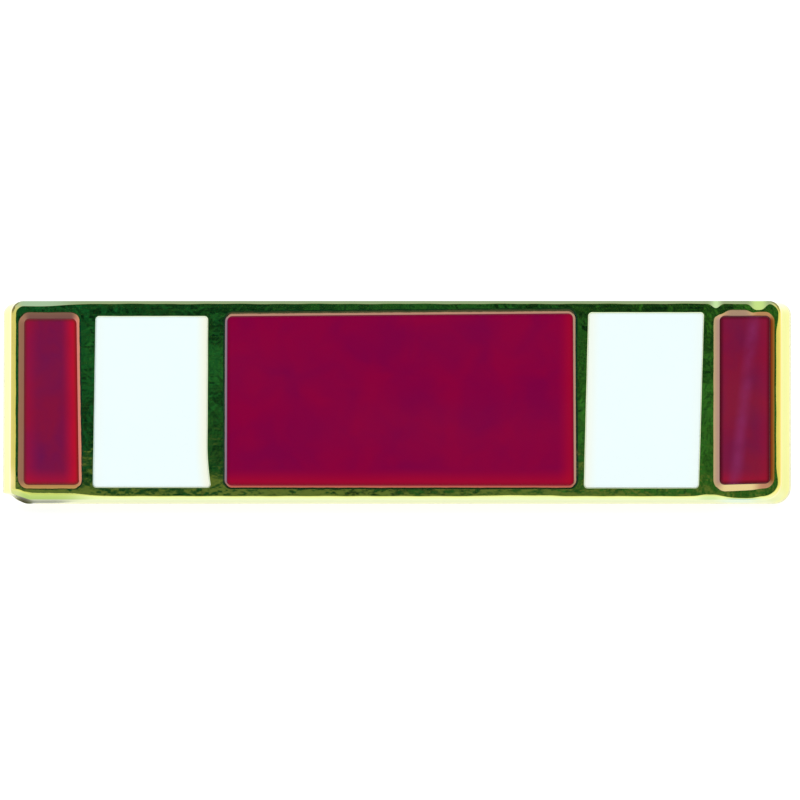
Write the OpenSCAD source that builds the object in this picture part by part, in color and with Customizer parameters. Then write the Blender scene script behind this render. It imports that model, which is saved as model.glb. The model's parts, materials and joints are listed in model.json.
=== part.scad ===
// Ribbon pin: a die-struck brass plate whose five cells are filled with enamel, with two
// posts soldered to its back. The plate is drawn flat, back down, and is then leant on
// its lower back edge and the tips of its posts, as it stands by itself.
// Sizes are in millimetres. The face looks towards -Y, and the length runs along X.

/* [Plate] */
// Length of the plate across its back
plate_length = 25.4; // [24:0.1:28]
// Height of the plate across its back
plate_height = 6.5; // [5.8:0.1:7.4]
// Thickness of the plate, from its back to the top of the rim
plate_thickness = 1.5; // [1.2:0.05:2]
// How far each end wall slopes in, from the back to the face
end_slope = 0.31; // [0:0.01:0.35]
// How far each long wall slopes in, from the back to the face
side_slope = 0.05; // [0:0.01:0.12]
// Radius of three corners of the plate
corner_radius = 0.4; // [0.3:0.05:0.6]
// Radius of the lower right corner, which is polished off further
worn_corner_radius = 0.55; // [0.3:0.05:0.6]
// Radius of the polished edge round the face
edge_radius = 0.1; // [0.05:0.01:0.15]

/* [Cells] */
// Depth of the cells below the top of the rim
cell_depth = 0.5; // [0.3:0.05:0.7]
// Radius in the corners of the cells
cell_corner_radius = 0.16; // [0.05:0.01:0.3]
// Width of the rim above the cells
rim_above = 0.35; // [0.3:0.01:0.6]
// Width of the rim below the cells
rim_below = 0.33; // [0.3:0.01:0.6]
// Width of the rim at the right end
rim_right = 0.34; // [0.3:0.01:0.6]

/* [Enamel] */
// Gap between the enamel and the walls and floor of its cell
enamel_gap = 0.015; // [0.01:0.005:0.03]
// How far the polished enamel lies below the top of the rim
enamel_recess = 0.03; // [0:0.01:0.1]

/* [Posts] */
// Distance between the axes of the two posts
post_pitch = 12.7; // [10:0.1:16]
// Radius of a post
post_radius = 0.57; // [0.5:0.01:0.6]
// Length of a post, from the back of the plate to its tip
post_length = 8; // [7:0.1:9]
// Length of the pointed end of a post
point_length = 1.7; // [1.7:0.1:2.4]
// Radius of the blunt tip
tip_radius = 0.12; // [0.08:0.01:0.16]
// Radius of the solder fillet round the foot of a post
solder_radius = 0.35; // [0.2:0.05:0.5]

/* [Hidden] */

gold = "#e8cf5a";
crimson = "#84063a";
white = "#f0fbfb";

// Facets of the corners, which are small, and of the posts
corner_facets = 32;
post_facets = 64;
// Steps in the arcs of a post's solder and of its tip
solder_steps = 5;
tip_steps = 6;
// Thickness of the thin discs that the plate is drawn round
disc = 0.01;
// How far a shape runs on into the one that it joins or cuts
overlap = 0.2;

// The flat top of the rim, inside the polished edge
face_length = plate_length - 2 * (end_slope + edge_radius);
face_height = plate_height - 2 * (side_slope + edge_radius);

// The stripes from left to right. The middle one takes what the others leave of the face.
METAL = 0; // width of the rim or rib on the left of the stripe
STRIPE = 1; // width of the stripe
STRIPES = [
    [0.3, 1.75],
    [0.56, 3.6],
    [0.62, 0],
    [0.45, 3.58],
    [0.65, 1.56],
];
CRIMSON_LEFT = 0;
WHITE_LEFT = 1;
CRIMSON_CENTRE = 2;
WHITE_RIGHT = 3;
CRIMSON_RIGHT = 4;

// The corners of the plate
SIDE_X = 0; // which end, left or right
SIDE_Y = 1; // which long side, lower or upper
RADIUS = 2; // radius of the corner
CORNERS = [
    [-1, -1, corner_radius],
    [1, -1, worn_corner_radius],
    [1, 1, corner_radius],
    [-1, 1, corner_radius],
];

// The polished edge is drawn as a few rings, by their angle round the edge's arc
EDGE_ANGLES = [0, 30, 60, 90];

// The sum of one column of a table, over the rows before a given one
function column_sum(table, column, rows, row = 0) =
    row >= rows ? 0 : table[row][column] + column_sum(table, column, rows, row + 1);

centre_width = face_length - rim_right
    - column_sum(STRIPES, METAL, len(STRIPES)) - column_sum(STRIPES, STRIPE, len(STRIPES));

function stripe_width(i) = i == CRIMSON_CENTRE ? centre_width : STRIPES[i][STRIPE];

function stripe_left(i) =
    -face_length / 2 + column_sum(STRIPES, METAL, i + 1) + column_sum(STRIPES, STRIPE, i)
    + (i > CRIMSON_CENTRE ? centre_width : 0);

cell_bottom = -face_height / 2 + rim_below;
cell_top = face_height / 2 - rim_above;
cell_floor = plate_thickness - cell_depth;
enamel_top = plate_thickness - enamel_recess;

// The round tip of a post: where its centre is, and where it meets the cone
tip_reach = post_length - tip_radius;
point_angle = atan((post_radius - tip_radius) / (point_length - tip_radius));

// Half the outline of a post, from inside the plate, round the solder and down to the tip.
// Depths below the back of the plate are negative.
post_outline = concat(
    [[0, overlap], [post_radius + solder_radius, overlap]],
    [
        for (step = [0:solder_steps])
            let (angle = 90 * step / solder_steps)
                [
                    post_radius + solder_radius * (1 - sin(angle)),
                    -solder_radius * (1 - cos(angle)),
                ]
    ],
    [[post_radius, -(post_length - point_length)]],
    [
        for (step = [0:tip_steps])
            let (angle = point_angle + (90 - point_angle) * step / tip_steps)
                [tip_radius * cos(angle), -tip_reach - tip_radius * sin(angle)]
    ]
);

// The lean at which the lower back edge and the round tips of the posts touch one level:
// the angle by which the face looks up
lean_arm = norm([plate_height / 2, tip_reach]);
lean = acos(tip_radius / lean_arm) - atan(tip_reach / (plate_height / 2));

// How far down, forward and back the leaning pin reaches from the middle of its back
lowest = -plate_height / 2 * cos(lean);
foremost = min([
    for (angle = EDGE_ANGLES)
        -(plate_height / 2 - side_slope - edge_radius * (1 - cos(angle))) * sin(lean)
        - (plate_thickness - edge_radius * (1 - sin(angle))) * cos(lean)
]);
rearmost = tip_reach * cos(lean) + tip_radius;

// A flat rectangle with round corners, from its lower left corner
module rounded_rectangle(width, height, radius) {
    translate([radius, 0]) square([width - 2 * radius, height]);
    translate([0, radius]) square([width, height - 2 * radius]);
    for (x = [radius, width - radius], y = [radius, height - radius])
        translate([x, y]) circle(r = radius, $fn = corner_facets);
}

// One level of one corner of the plate: a thin disc, whose top is at the height given.
// The slope share is how far up the sloping wall it is, from 0 at the back to 1.
module corner_disc(corner, height, slope_share, polished_off) {
    radius = corner[RADIUS];
    x = plate_length / 2 - end_slope * slope_share - radius;
    y = plate_height / 2 - side_slope * slope_share - radius;
    translate([corner[SIDE_X] * x, corner[SIDE_Y] * y, height - disc])
        cylinder(h = disc, r = radius - polished_off, $fn = corner_facets);
}

// The plate before its cells are struck, with sloping walls and a polished edge
module plate_blank() {
    hull()
        for (corner = CORNERS) {
            corner_disc(corner, disc, 0, 0);
            for (angle = EDGE_ANGLES)
                corner_disc(
                    corner,
                    plate_thickness - edge_radius * (1 - sin(angle)),
                    1,
                    edge_radius * (1 - cos(angle))
                );
        }
}

// The room of one stripe between its ribs, from one height to another
module stripe_block(i, bottom, top, gap) {
    translate([stripe_left(i) + gap, cell_bottom + gap, bottom])
        linear_extrude(top - bottom)
            rounded_rectangle(
                stripe_width(i) - 2 * gap,
                cell_top - cell_bottom - 2 * gap,
                cell_corner_radius - gap
            );
}

// A clutch post with solder at its foot and a blunt point
module post() {
    rotate_extrude($fn = post_facets) polygon(post_outline);
}

// Stands the flat pin on its lower back edge and the tips of its posts
module leant() {
    translate([0, -(foremost + rearmost) / 2, -lowest])
        rotate([90 - lean, 0, 0])
            children();
}

// The struck plate with its rim, ribs and cells, and the posts soldered to its back
module base_plate() {
    color(gold)
        leant() {
            difference() {
                plate_blank();
                for (i = [0:len(STRIPES) - 1])
                    stripe_block(i, cell_floor, plate_thickness + overlap, 0);
            }
            for (side = [-1, 1])
                translate([side * post_pitch / 2, 0, 0]) post();
        }
}

// The enamel that fills one cell
module enamel(i) {
    leant() stripe_block(i, cell_floor + enamel_gap, enamel_top, enamel_gap);
}

module enamel_crimson_left() {
    color(crimson) enamel(CRIMSON_LEFT);
}

module enamel_white_left() {
    color(white) enamel(WHITE_LEFT);
}

module enamel_crimson_centre() {
    color(crimson) enamel(CRIMSON_CENTRE);
}

module enamel_white_right() {
    color(white) enamel(WHITE_RIGHT);
}

module enamel_crimson_right() {
    color(crimson) enamel(CRIMSON_RIGHT);
}

base_plate();
enamel_crimson_left();
enamel_white_left();
enamel_crimson_centre();
enamel_white_right();
enamel_crimson_right();
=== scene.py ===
"""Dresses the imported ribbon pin: a die-struck plate in pale gold plating, five fills of hard
enamel and two clutch posts, on a pale floor in soft studio light.

Sizes in the classes are millimetres in the plate's own frame: x along the bar, y up its height
and z out of its face, from the middle of its back. PlateFrame turns that frame into the row
frame, which is in metres.
"""

from __future__ import annotations

import json
import logging
import math
from dataclasses import dataclass
from enum import Enum
from typing import Any, Mapping, Sequence

import bmesh
import bpy
import numpy as np
from mathutils import Matrix, Vector
from mathutils.geometry import delaunay_2d_cdt

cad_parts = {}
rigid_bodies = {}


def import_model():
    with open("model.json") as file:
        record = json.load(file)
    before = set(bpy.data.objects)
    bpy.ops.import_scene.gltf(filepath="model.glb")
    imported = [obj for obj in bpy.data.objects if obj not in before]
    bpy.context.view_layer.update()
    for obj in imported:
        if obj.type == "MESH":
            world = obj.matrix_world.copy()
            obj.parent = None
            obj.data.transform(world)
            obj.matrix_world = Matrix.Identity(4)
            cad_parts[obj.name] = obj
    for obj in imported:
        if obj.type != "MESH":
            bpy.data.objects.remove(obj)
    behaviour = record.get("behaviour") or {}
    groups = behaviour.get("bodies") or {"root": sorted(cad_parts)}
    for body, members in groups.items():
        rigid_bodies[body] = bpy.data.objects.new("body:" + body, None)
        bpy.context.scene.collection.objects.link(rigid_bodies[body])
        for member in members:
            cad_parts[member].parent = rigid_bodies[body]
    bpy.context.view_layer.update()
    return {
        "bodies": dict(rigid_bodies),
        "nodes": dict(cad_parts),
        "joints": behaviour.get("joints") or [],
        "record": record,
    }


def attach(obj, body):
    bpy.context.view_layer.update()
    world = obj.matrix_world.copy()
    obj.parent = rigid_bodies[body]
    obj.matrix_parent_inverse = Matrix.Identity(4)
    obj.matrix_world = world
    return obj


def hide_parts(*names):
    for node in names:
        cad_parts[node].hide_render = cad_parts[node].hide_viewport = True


log = logging.getLogger("ribbon_pin")

BODY = "root"
MM = 0.001
# The photograph's frame, in pixels
PICTURE = 800
# The gap that the CAD model leaves round each enamel fill, in millimetres
FILL_GAP = 0.015
# How far a point may be below a level and still count as on it, in millimetres
LEVEL = 0.001
# What keeps a division from having nothing below it
TINY = 1e-9
# Where the Mix node keeps its sockets for colours and for numbers, which share their names
MIX_A, MIX_B, MIX_COLOUR = 6, 7, 2
MIX_LOW, MIX_HIGH = 2, 3
# The attributes that an enamel fill carries: how far a point is from the walls of its cell
FROM_LOWER_LEFT = "from_lower_left"
FROM_UPPER_RIGHT = "from_upper_right"
# The attribute that the plate carries: the tint painted over its edges, as a colour whose alpha
# is the tint's share. It is painted highlights and reflections, with a dark olive band at the
# lower left
PAINTED_EDGE_TINT = "painted_edge_tint"


class Side(Enum):
    """One side of the plate or of a cell, by the direction that it faces."""

    LEFT = (-1.0, 0.0)
    RIGHT = (1.0, 0.0)
    FOOT = (0.0, -1.0)
    HEAD = (0.0, 1.0)


class Slot(Enum):
    """The record's material slots."""

    GOLD = "gold_plate"
    CRIMSON = "crimson_enamel"
    WHITE = "white_enamel"


def linear_colour(code: str, gain: float = 1.0) -> tuple[float, float, float, float]:
    """Turns an sRGB hex colour to linear light.

    Args:
        code: The colour, such as "#F1EA7C".
        gain: What the linear colour is multiplied by.

    Returns:
        Red, green, blue and an alpha of 1.
    """
    parts = [int(code[i : i + 2], 16) / 255 for i in (1, 3, 5)]
    light = [c / 12.92 if c <= 0.04045 else ((c + 0.055) / 1.055) ** 2.4 for c in parts]
    return (light[0] * gain, light[1] * gain, light[2] * gain, 1.0)


def add_node(
    tree: bpy.types.NodeTree,
    kind: str,
    feeds: Mapping[str | int, Any] | None = None,
    **settings: Any,
) -> bpy.types.Node:
    """Adds a node with its settings and what feeds its inputs.

    Args:
        tree: The node tree.
        kind: The node's type.
        feeds: For an input's name or number, a value, an output, or a node whose first output
            is meant.
        settings: Properties of the node.

    Returns:
        The new node.
    """
    node = tree.nodes.new(kind)
    for name, value in settings.items():
        setattr(node, name, value)
    for key, value in (feeds or {}).items():
        if isinstance(value, bpy.types.Node):
            value = value.outputs[0]
        if isinstance(value, bpy.types.NodeSocket):
            tree.links.new(value, node.inputs[key])
        else:
            node.inputs[key].default_value = value
    return node


def direction_towards(azimuth: float, elevation: float) -> Vector:
    """Gives the direction from the pin to something round it, from its angles in degrees."""
    a, e = math.radians(azimuth), math.radians(elevation)
    return Vector((math.sin(a) * math.cos(e), -math.cos(a) * math.cos(e), math.sin(e)))


def set_up_facing(
    thing: bpy.types.Object, centre: Vector, azimuth: float, elevation: float, distance: float
) -> None:
    """Sets a card or a lamp up so that it faces the pin.

    Args:
        thing: The card or lamp.
        centre: What it faces, in metres.
        azimuth: Its angle round the pin from the front, in degrees.
        elevation: Its angle above the floor, in degrees.
        distance: How far off it is, in millimetres.
    """
    out = direction_towards(azimuth, elevation)
    thing.rotation_mode = "QUATERNION"
    thing.rotation_quaternion = out.to_track_quat("Z", "Y")
    thing.location = centre + out * distance * MM


def new_material(name: str) -> tuple[bpy.types.Material, bpy.types.NodeTree]:
    """Makes a material with an empty node tree.

    Args:
        name: The material's name.

    Returns:
        The material and its tree.
    """
    material = bpy.data.materials.new(name)
    material.use_nodes = True
    material.node_tree.nodes.clear()
    return material, material.node_tree


def tint_near(
    tree: bpy.types.NodeTree,
    colour: bpy.types.NodeSocket,
    tint: str,
    distance: bpy.types.Node | bpy.types.NodeSocket,
    fade: tuple[float, float],
    share: float,
) -> bpy.types.NodeSocket:
    """Tints a colour where a distance is short.

    Args:
        tree: The material's node tree.
        colour: The colour.
        tint: The tint, as an sRGB hex colour.
        distance: The distance, in millimetres.
        fade: Where the tint starts to fade, and where it is gone.
        share: The tint's share before it fades.

    Returns:
        The tinted colour.
    """
    near = add_node(
        tree,
        "ShaderNodeMapRange",
        {
            "Value": distance,
            "From Min": fade[0],
            "From Max": fade[1],
            "To Min": share,
            "To Max": 0.0,
        },
        interpolation_type="SMOOTHSTEP",
    )
    mixed = add_node(
        tree,
        "ShaderNodeMix",
        {0: near, MIX_A: colour, MIX_B: linear_colour(tint)},
        data_type="RGBA",
    )
    return mixed.outputs[MIX_COLOUR]


@dataclass(frozen=True)
class PolishedGoldPlating:
    """Pale gold plating over brass that was buffed on a wheel: a clear mirror that the wheel
    left slightly wavy, with fine lines along the bar. On an edge-tinted piece it gives way to the
    tints painted along the piece's edges, which are painted highlights and reflections. Real
    buffing lines are about 0.01 mm wide, too fine to show, so they are drawn several times as
    wide."""

    name: str = "polished_gold_plating"
    edge_tinted: bool = True
    colour: str = "#EAEC6E"
    warm_colour: str = "#E6DF5E"
    roughness_low: float = 0.04
    roughness_high: float = 0.09
    wave_length: float = 0.36
    wave_height: float = 0.0045
    line_length: float = 2.4
    line_width: float = 0.07
    line_height: float = 0.0002
    line_low: float = 0.3
    line_high: float = 0.7

    def material(self) -> bpy.types.Material:
        """Makes the material.

        Returns:
            The material.
        """
        material, tree = new_material(self.name)
        place = add_node(tree, "ShaderNodeTexCoord").outputs["Object"]
        waves = add_node(
            tree,
            "ShaderNodeTexNoise",
            {"Vector": place, "Scale": 1 / (self.wave_length * MM), "Detail": 2.0},
        )
        stretched = add_node(
            tree,
            "ShaderNodeMapping",
            {"Vector": place, "Scale": (self.line_width / self.line_length, 1.0, 1.0)},
        )
        lines = add_node(
            tree,
            "ShaderNodeTexNoise",
            {"Vector": stretched, "Scale": 1 / (self.line_width * MM), "Detail": 3.0},
        )
        tone = add_node(
            tree,
            "ShaderNodeMix",
            {
                0: waves,
                MIX_A: linear_colour(self.colour),
                MIX_B: linear_colour(self.warm_colour),
            },
            data_type="RGBA",
        )
        # Painted light: along the edges the plating's colour gives way to the painted highlight
        # and reflection tints
        if self.edge_tinted:
            edge_tint = add_node(tree, "ShaderNodeAttribute", attribute_name=PAINTED_EDGE_TINT).outputs
            tone = add_node(
                tree,
                "ShaderNodeMix",
                {0: edge_tint["Alpha"], MIX_A: tone.outputs[MIX_COLOUR], MIX_B: edge_tint["Color"]},
                data_type="RGBA",
            )
        gloss = add_node(
            tree,
            "ShaderNodeMapRange",
            {
                "Value": lines,
                "From Min": self.line_low,
                "From Max": self.line_high,
                "To Min": self.roughness_low,
                "To Max": self.roughness_high,
            },
        )
        broad = add_node(
            tree,
            "ShaderNodeBump",
            {"Strength": 1.0, "Distance": self.wave_height * MM, "Height": waves},
        )
        fine = add_node(
            tree,
            "ShaderNodeBump",
            {
                "Strength": 1.0,
                "Distance": self.line_height * MM,
                "Height": lines,
                "Normal": broad,
            },
        )
        surface = add_node(
            tree,
            "ShaderNodeBsdfPrincipled",
            {
                "Base Color": tone.outputs[MIX_COLOUR],
                "Metallic": 1.0,
                "Roughness": gloss,
                "Normal": fine,
            },
        )
        add_node(tree, "ShaderNodeOutputMaterial", {"Surface": surface})
        return material


@dataclass(frozen=True)
class SatinGoldBack:
    """The same plating over the back as it came from the die, which was never buffed: a fine
    grain that blurs what it reflects, drawn coarser than the real one so that it shows."""

    name: str = "satin_gold_back"
    colour: str = "#DCCB62"
    dull_colour: str = "#C9B34C"
    roughness: float = 0.34
    grain: float = 0.09
    grain_height: float = 0.004
    patch: float = 3.0

    def material(self) -> bpy.types.Material:
        """Makes the material.

        Returns:
            The material.
        """
        material, tree = new_material(self.name)
        place = add_node(tree, "ShaderNodeTexCoord").outputs["Object"]
        grain = add_node(
            tree,
            "ShaderNodeTexNoise",
            {"Vector": place, "Scale": 1 / (self.grain * MM), "Detail": 3.0},
        )
        patches = add_node(
            tree,
            "ShaderNodeTexNoise",
            {"Vector": place, "Scale": 1 / (self.patch * MM), "Detail": 4.0},
        )
        tone = add_node(
            tree,
            "ShaderNodeMix",
            {
                0: patches,
                MIX_A: linear_colour(self.colour),
                MIX_B: linear_colour(self.dull_colour),
            },
            data_type="RGBA",
        )
        bump = add_node(
            tree,
            "ShaderNodeBump",
            {"Strength": 1.0, "Distance": self.grain_height * MM, "Height": grain},
        )
        surface = add_node(
            tree,
            "ShaderNodeBsdfPrincipled",
            {
                "Base Color": tone.outputs[MIX_COLOUR],
                "Metallic": 1.0,
                "Roughness": self.roughness,
                "Normal": bump,
            },
        )
        add_node(tree, "ShaderNodeOutputMaterial", {"Surface": surface})
        return material


@dataclass(frozen=True)
class HardEnamel:
    """Hard enamel: glass that was melted into its cell, stoned flat and polished. It is glossy
    like window glass, with a faint orange peel from the stone."""

    name: str
    peel: float = 0.9
    peel_height: float = 0.0012
    roughness: float = 0.07
    ior: float = 1.52
    specular: float = 0.5

    @staticmethod
    def wall_distances(tree: bpy.types.NodeTree) -> list[bpy.types.NodeOutputs]:
        """Adds the nodes that read how far a point is from the walls of its cell.

        Args:
            tree: The material's node tree.

        Returns:
            The distances from the left and lower walls and from the right and upper walls,
            each as X and Y. The first pair's Z is the distance from the nearest wall.
        """
        distances = []
        for name in (FROM_LOWER_LEFT, FROM_UPPER_RIGHT):
            stored = add_node(tree, "ShaderNodeAttribute", attribute_name=name)
            parts = add_node(tree, "ShaderNodeSeparateXYZ", {0: stored.outputs["Vector"]})
            distances.append(parts.outputs)
        return distances

    def add_glass(
        self,
        tree: bpy.types.NodeTree,
        place: bpy.types.NodeSocket,
        colour: bpy.types.NodeSocket,
    ) -> None:
        """Adds the polished surface and the material's output.

        Args:
            tree: The material's node tree.
            place: The coordinates that the orange peel follows.
            colour: The colour of the glass.
        """
        peel = add_node(
            tree,
            "ShaderNodeTexNoise",
            {"Vector": place, "Scale": 1 / (self.peel * MM), "Detail": 1.0},
        )
        bump = add_node(
            tree,
            "ShaderNodeBump",
            {"Strength": 1.0, "Distance": self.peel_height * MM, "Height": peel},
        )
        surface = add_node(
            tree,
            "ShaderNodeBsdfPrincipled",
            {
                "Base Color": colour,
                "Roughness": self.roughness,
                "IOR": self.ior,
                "Specular IOR Level": self.specular,
                "Normal": bump,
            },
        )
        add_node(tree, "ShaderNodeOutputMaterial", {"Surface": surface})


@dataclass(frozen=True)
class CrimsonEnamel(HardEnamel):
    """Crimson enamel, a clear deep red glass. It is wine red where it is deep, with purple
    clouds, a painted hotter red against the walls that light it from the side, and painted shade
    at its brink. One fill has a pale slanting streak, a painted reflection."""

    specular: float = 0.25
    wine: str = "#820039"
    purple: str = "#6C0444"
    purple_share: float = 0.35
    cloud: float = 1.3
    cloud_low: float = 0.35
    cloud_high: float = 0.7
    cloud_swirl: float = 0.4
    # Painted light: a hotter red near the walls that light the glass from the side
    hot: str = "#AA0824"
    left_glow: float = 0.3
    right_glow: float = 0.6
    foot_glow: float = 0.5
    glow_reach: float = 0.4
    glow_unevenness: float = 0.8
    # Painted shade: a darker red at the brink, against the walls
    brink: str = "#4E0412"
    brink_share: float = 0.5
    brink_reach: float = 0.13
    # A painted reflection: the pale slanting streak across one fill
    streak: float = 0.0
    streak_colour: str = "#86265C"
    streak_foot: float = 0.46
    streak_lean: float = 0.11
    streak_half_width: float = 0.3
    streak_break: float = 0.8
    streak_break_low: float = 0.3
    streak_break_high: float = 0.6
    streak_least: float = 0.25

    def material(self) -> bpy.types.Material:
        """Makes the material.

        Returns:
            The material.
        """
        material, tree = new_material(self.name)
        place = add_node(tree, "ShaderNodeTexCoord").outputs["Object"]
        clouds = add_node(
            tree,
            "ShaderNodeTexNoise",
            {
                "Vector": place,
                "Scale": 1 / (self.cloud * MM),
                "Detail": 3.0,
                "Distortion": self.cloud_swirl,
            },
        )
        depth = add_node(
            tree,
            "ShaderNodeMapRange",
            {
                "Value": clouds,
                "From Min": self.cloud_low,
                "From Max": self.cloud_high,
                "To Max": self.purple_share * 2,
            },
        )
        body = add_node(
            tree,
            "ShaderNodeMix",
            {0: depth, MIX_A: linear_colour(self.wine), MIX_B: linear_colour(self.purple)},
            data_type="RGBA",
        )
        colour = body.outputs[MIX_COLOUR]
        lower_left, upper_right = self.wall_distances(tree)
        # Painted light near the left, right and lower walls
        glow_fade = (-self.glow_reach * self.glow_unevenness / 2, self.glow_reach)
        for distance, glow in (
            (lower_left["X"], self.left_glow),
            (upper_right["X"], self.right_glow),
            (lower_left["Y"], self.foot_glow),
        ):
            uneven = add_node(
                tree,
                "ShaderNodeMath",
                {0: clouds, 1: -self.glow_reach * self.glow_unevenness, 2: distance},
                operation="MULTIPLY_ADD",
            )
            colour = tint_near(tree, colour, self.hot, uneven, glow_fade, glow)
        # Painted shade towards the walls
        brink_fade = (0.0, self.brink_reach)
        colour = tint_near(
            tree, colour, self.brink, lower_left["Z"], brink_fade, self.brink_share
        )
        # Painted reflection
        if self.streak:
            colour = self.add_painted_streak(tree, colour, lower_left)
        self.add_glass(tree, place, colour)
        return material

    def add_painted_streak(
        self,
        tree: bpy.types.NodeTree,
        colour: bpy.types.NodeSocket,
        lower_left: bpy.types.NodeOutputs,
    ) -> bpy.types.NodeSocket:
        """Adds the pale slanting streak, a painted reflection in the enamel.

        Args:
            tree: The material's node tree.
            colour: The colour under the streak.
            lower_left: The distances from the left and lower walls.

        Returns:
            The colour with the streak.
        """
        centre = add_node(
            tree,
            "ShaderNodeMath",
            {0: lower_left["Y"], 1: self.streak_lean, 2: self.streak_foot},
            operation="MULTIPLY_ADD",
        )
        off = add_node(
            tree, "ShaderNodeMath", {0: lower_left["X"], 1: centre}, operation="SUBTRACT"
        )
        distance = add_node(tree, "ShaderNodeMath", {0: off}, operation="ABSOLUTE")
        share = add_node(
            tree,
            "ShaderNodeMapRange",
            {
                "Value": distance,
                "From Min": 0.0,
                "From Max": self.streak_half_width,
                "To Min": self.streak,
                "To Max": 0.0,
            },
            interpolation_type="SMOOTHSTEP",
        )
        place = add_node(tree, "ShaderNodeTexCoord").outputs["Object"]
        breaks = add_node(
            tree,
            "ShaderNodeTexNoise",
            {"Vector": place, "Scale": 1 / (self.streak_break * MM), "Detail": 2.0},
        )
        whole = add_node(
            tree,
            "ShaderNodeMapRange",
            {
                "Value": breaks,
                "From Min": self.streak_break_low,
                "From Max": self.streak_break_high,
                "To Min": self.streak_least,
            },
        )
        share = add_node(tree, "ShaderNodeMath", {0: share, 1: whole}, operation="MULTIPLY")
        mixed = add_node(
            tree,
            "ShaderNodeMix",
            {0: share, MIX_A: colour, MIX_B: linear_colour(self.streak_colour)},
            data_type="RGBA",
        )
        return mixed.outputs[MIX_COLOUR]


@dataclass(frozen=True)
class WhiteEnamel(HardEnamel):
    """White enamel, an opaque cool white glass. Near its upright walls it carries a painted cream
    reflection of their gold."""

    colour: str = "#F1FEFF"
    shade: str = "#EEFEFE"
    cloud: float = 1.6
    # Painted reflection of the gold walls
    cream: str = "#F8F8E0"
    cream_reach: float = 0.42
    left_cream: float = 0.15
    right_cream: float = 0.15

    def material(self) -> bpy.types.Material:
        """Makes the material.

        Returns:
            The material.
        """
        material, tree = new_material(self.name)
        place = add_node(tree, "ShaderNodeTexCoord").outputs["Object"]
        clouds = add_node(
            tree,
            "ShaderNodeTexNoise",
            {"Vector": place, "Scale": 1 / (self.cloud * MM), "Detail": 2.0},
        )
        body = add_node(
            tree,
            "ShaderNodeMix",
            {0: clouds, MIX_A: linear_colour(self.colour), MIX_B: linear_colour(self.shade)},
            data_type="RGBA",
        )
        colour = body.outputs[MIX_COLOUR]
        # Painted reflection: cream near the left and right walls
        shares = (self.left_cream, self.right_cream)
        for distances, share in zip(self.wall_distances(tree), shares):
            fade = (0.0, self.cream_reach)
            colour = tint_near(tree, colour, self.cream, distances["X"], fade, share)
        self.add_glass(tree, place, colour)
        return material


@dataclass(frozen=True)
class PlateFrame:
    """The plate's own frame. Its origin is the middle of the back, in metres in the row frame,
    and face is the direction that the enamelled face looks in."""

    origin: Vector
    face: Vector

    @classmethod
    def from_record(cls, record: Mapping[str, Any]) -> PlateFrame:
        """Reads the frame from the record's mount on the back of the plate."""
        back = next(m for m in record["mounts"] if m["name"] == "back_face")
        return cls(Vector(back["pos_m"]), -Vector(back["axis"]).normalized())

    def matrix(self) -> Matrix:
        """Works out how the plate's frame lies in the row frame.

        Returns:
            The matrix from millimetres in the plate's frame to metres in the row frame.
        """
        along = Vector((1.0, 0.0, 0.0))
        up = self.face.cross(along)
        turn = Matrix((along, up, self.face)).transposed().to_4x4()
        return Matrix.Translation(self.origin) @ turn @ Matrix.Scale(MM, 4)

    def measure(self, node: bpy.types.Object) -> np.ndarray:
        """Measures a CAD node in the plate's frame.

        Args:
            node: The node.

        Returns:
            Its vertices in millimetres, one to a row.
        """
        flat = np.empty(len(node.data.vertices) * 3, np.float32)
        node.data.vertices.foreach_get("co", flat)
        back = np.array(self.matrix().inverted(), float)
        return flat.reshape(-1, 3) @ back[:3, :3].T + back[:3, 3]


@dataclass(frozen=True)
class WallBend:
    """How far an upright wall of a cell stands to the right of its straight line, at its foot
    and its head, and how much its lowest quarter curls further."""

    foot: float = 0.0
    head: float = 0.0
    curl: float = 0.0
    curl_reach: float = 0.25

    def offset(self, rise: np.ndarray) -> np.ndarray:
        """Works out how far right the wall stands.

        Args:
            rise: How far up the wall each point is, from 0 at its foot to 1 at its head.

        Returns:
            The offset of each point.
        """
        share = np.clip(rise, 0.0, 1.0)
        curled = np.clip(1.0 - share / self.curl_reach, 0.0, 1.0) ** 2
        return self.foot + (self.head - self.foot) * share + self.curl * curled


@dataclass(frozen=True)
class EdgeWearAndLight:
    """A stretch of edge that polishing, filing or handling changed, and the light and shade
    painted on it. Centre and reach say where it is along its side and ends how sharply it ends.
    Width is how much wider the rounded edge is there, or how far a wall's burr sticks out, taper
    how much of that is lost for each millimetre to the right, facet how much of the rounding is a
    flat facet instead, edge_tint the painted highlight, reflection and shade colour that lies
    over it, and thinning how much more of the tint is gone on its far side."""

    side: Side
    centre: float = 0.0
    reach: float = 30.0
    width: float = 0.0
    taper: float = 0.0
    facet: float = 0.0
    ends: float = 4.0
    edge_tint: str | None = None
    tint_share: float = 1.0
    thinning: float = 0.0

    def share(self, outline: Outline) -> np.ndarray:
        """Works out where the stretch is. Round a corner it passes over to the next side.

        Args:
            outline: The outline of the edge.

        Returns:
            How much of the stretch each point of the outline has, from 0 to 1.
        """
        facing = np.clip(outline.normals @ np.array(self.side.value), 0.0, 1.0) ** 2
        along = outline.points[:, 0] if self.side.value[0] == 0 else outline.points[:, 1]
        fade = np.exp(-(np.abs((along - self.centre) / self.reach) ** self.ends))
        return facing * fade


@dataclass(frozen=True)
class WallRing:
    """A ring of points round the outer walls: how far up them it is, how much of the walls'
    painted tint it carries and how much of the burr sticks out there, each as a share."""

    rise: float
    edge_tint: float = 1.0
    burr: float = 0.0


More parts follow.
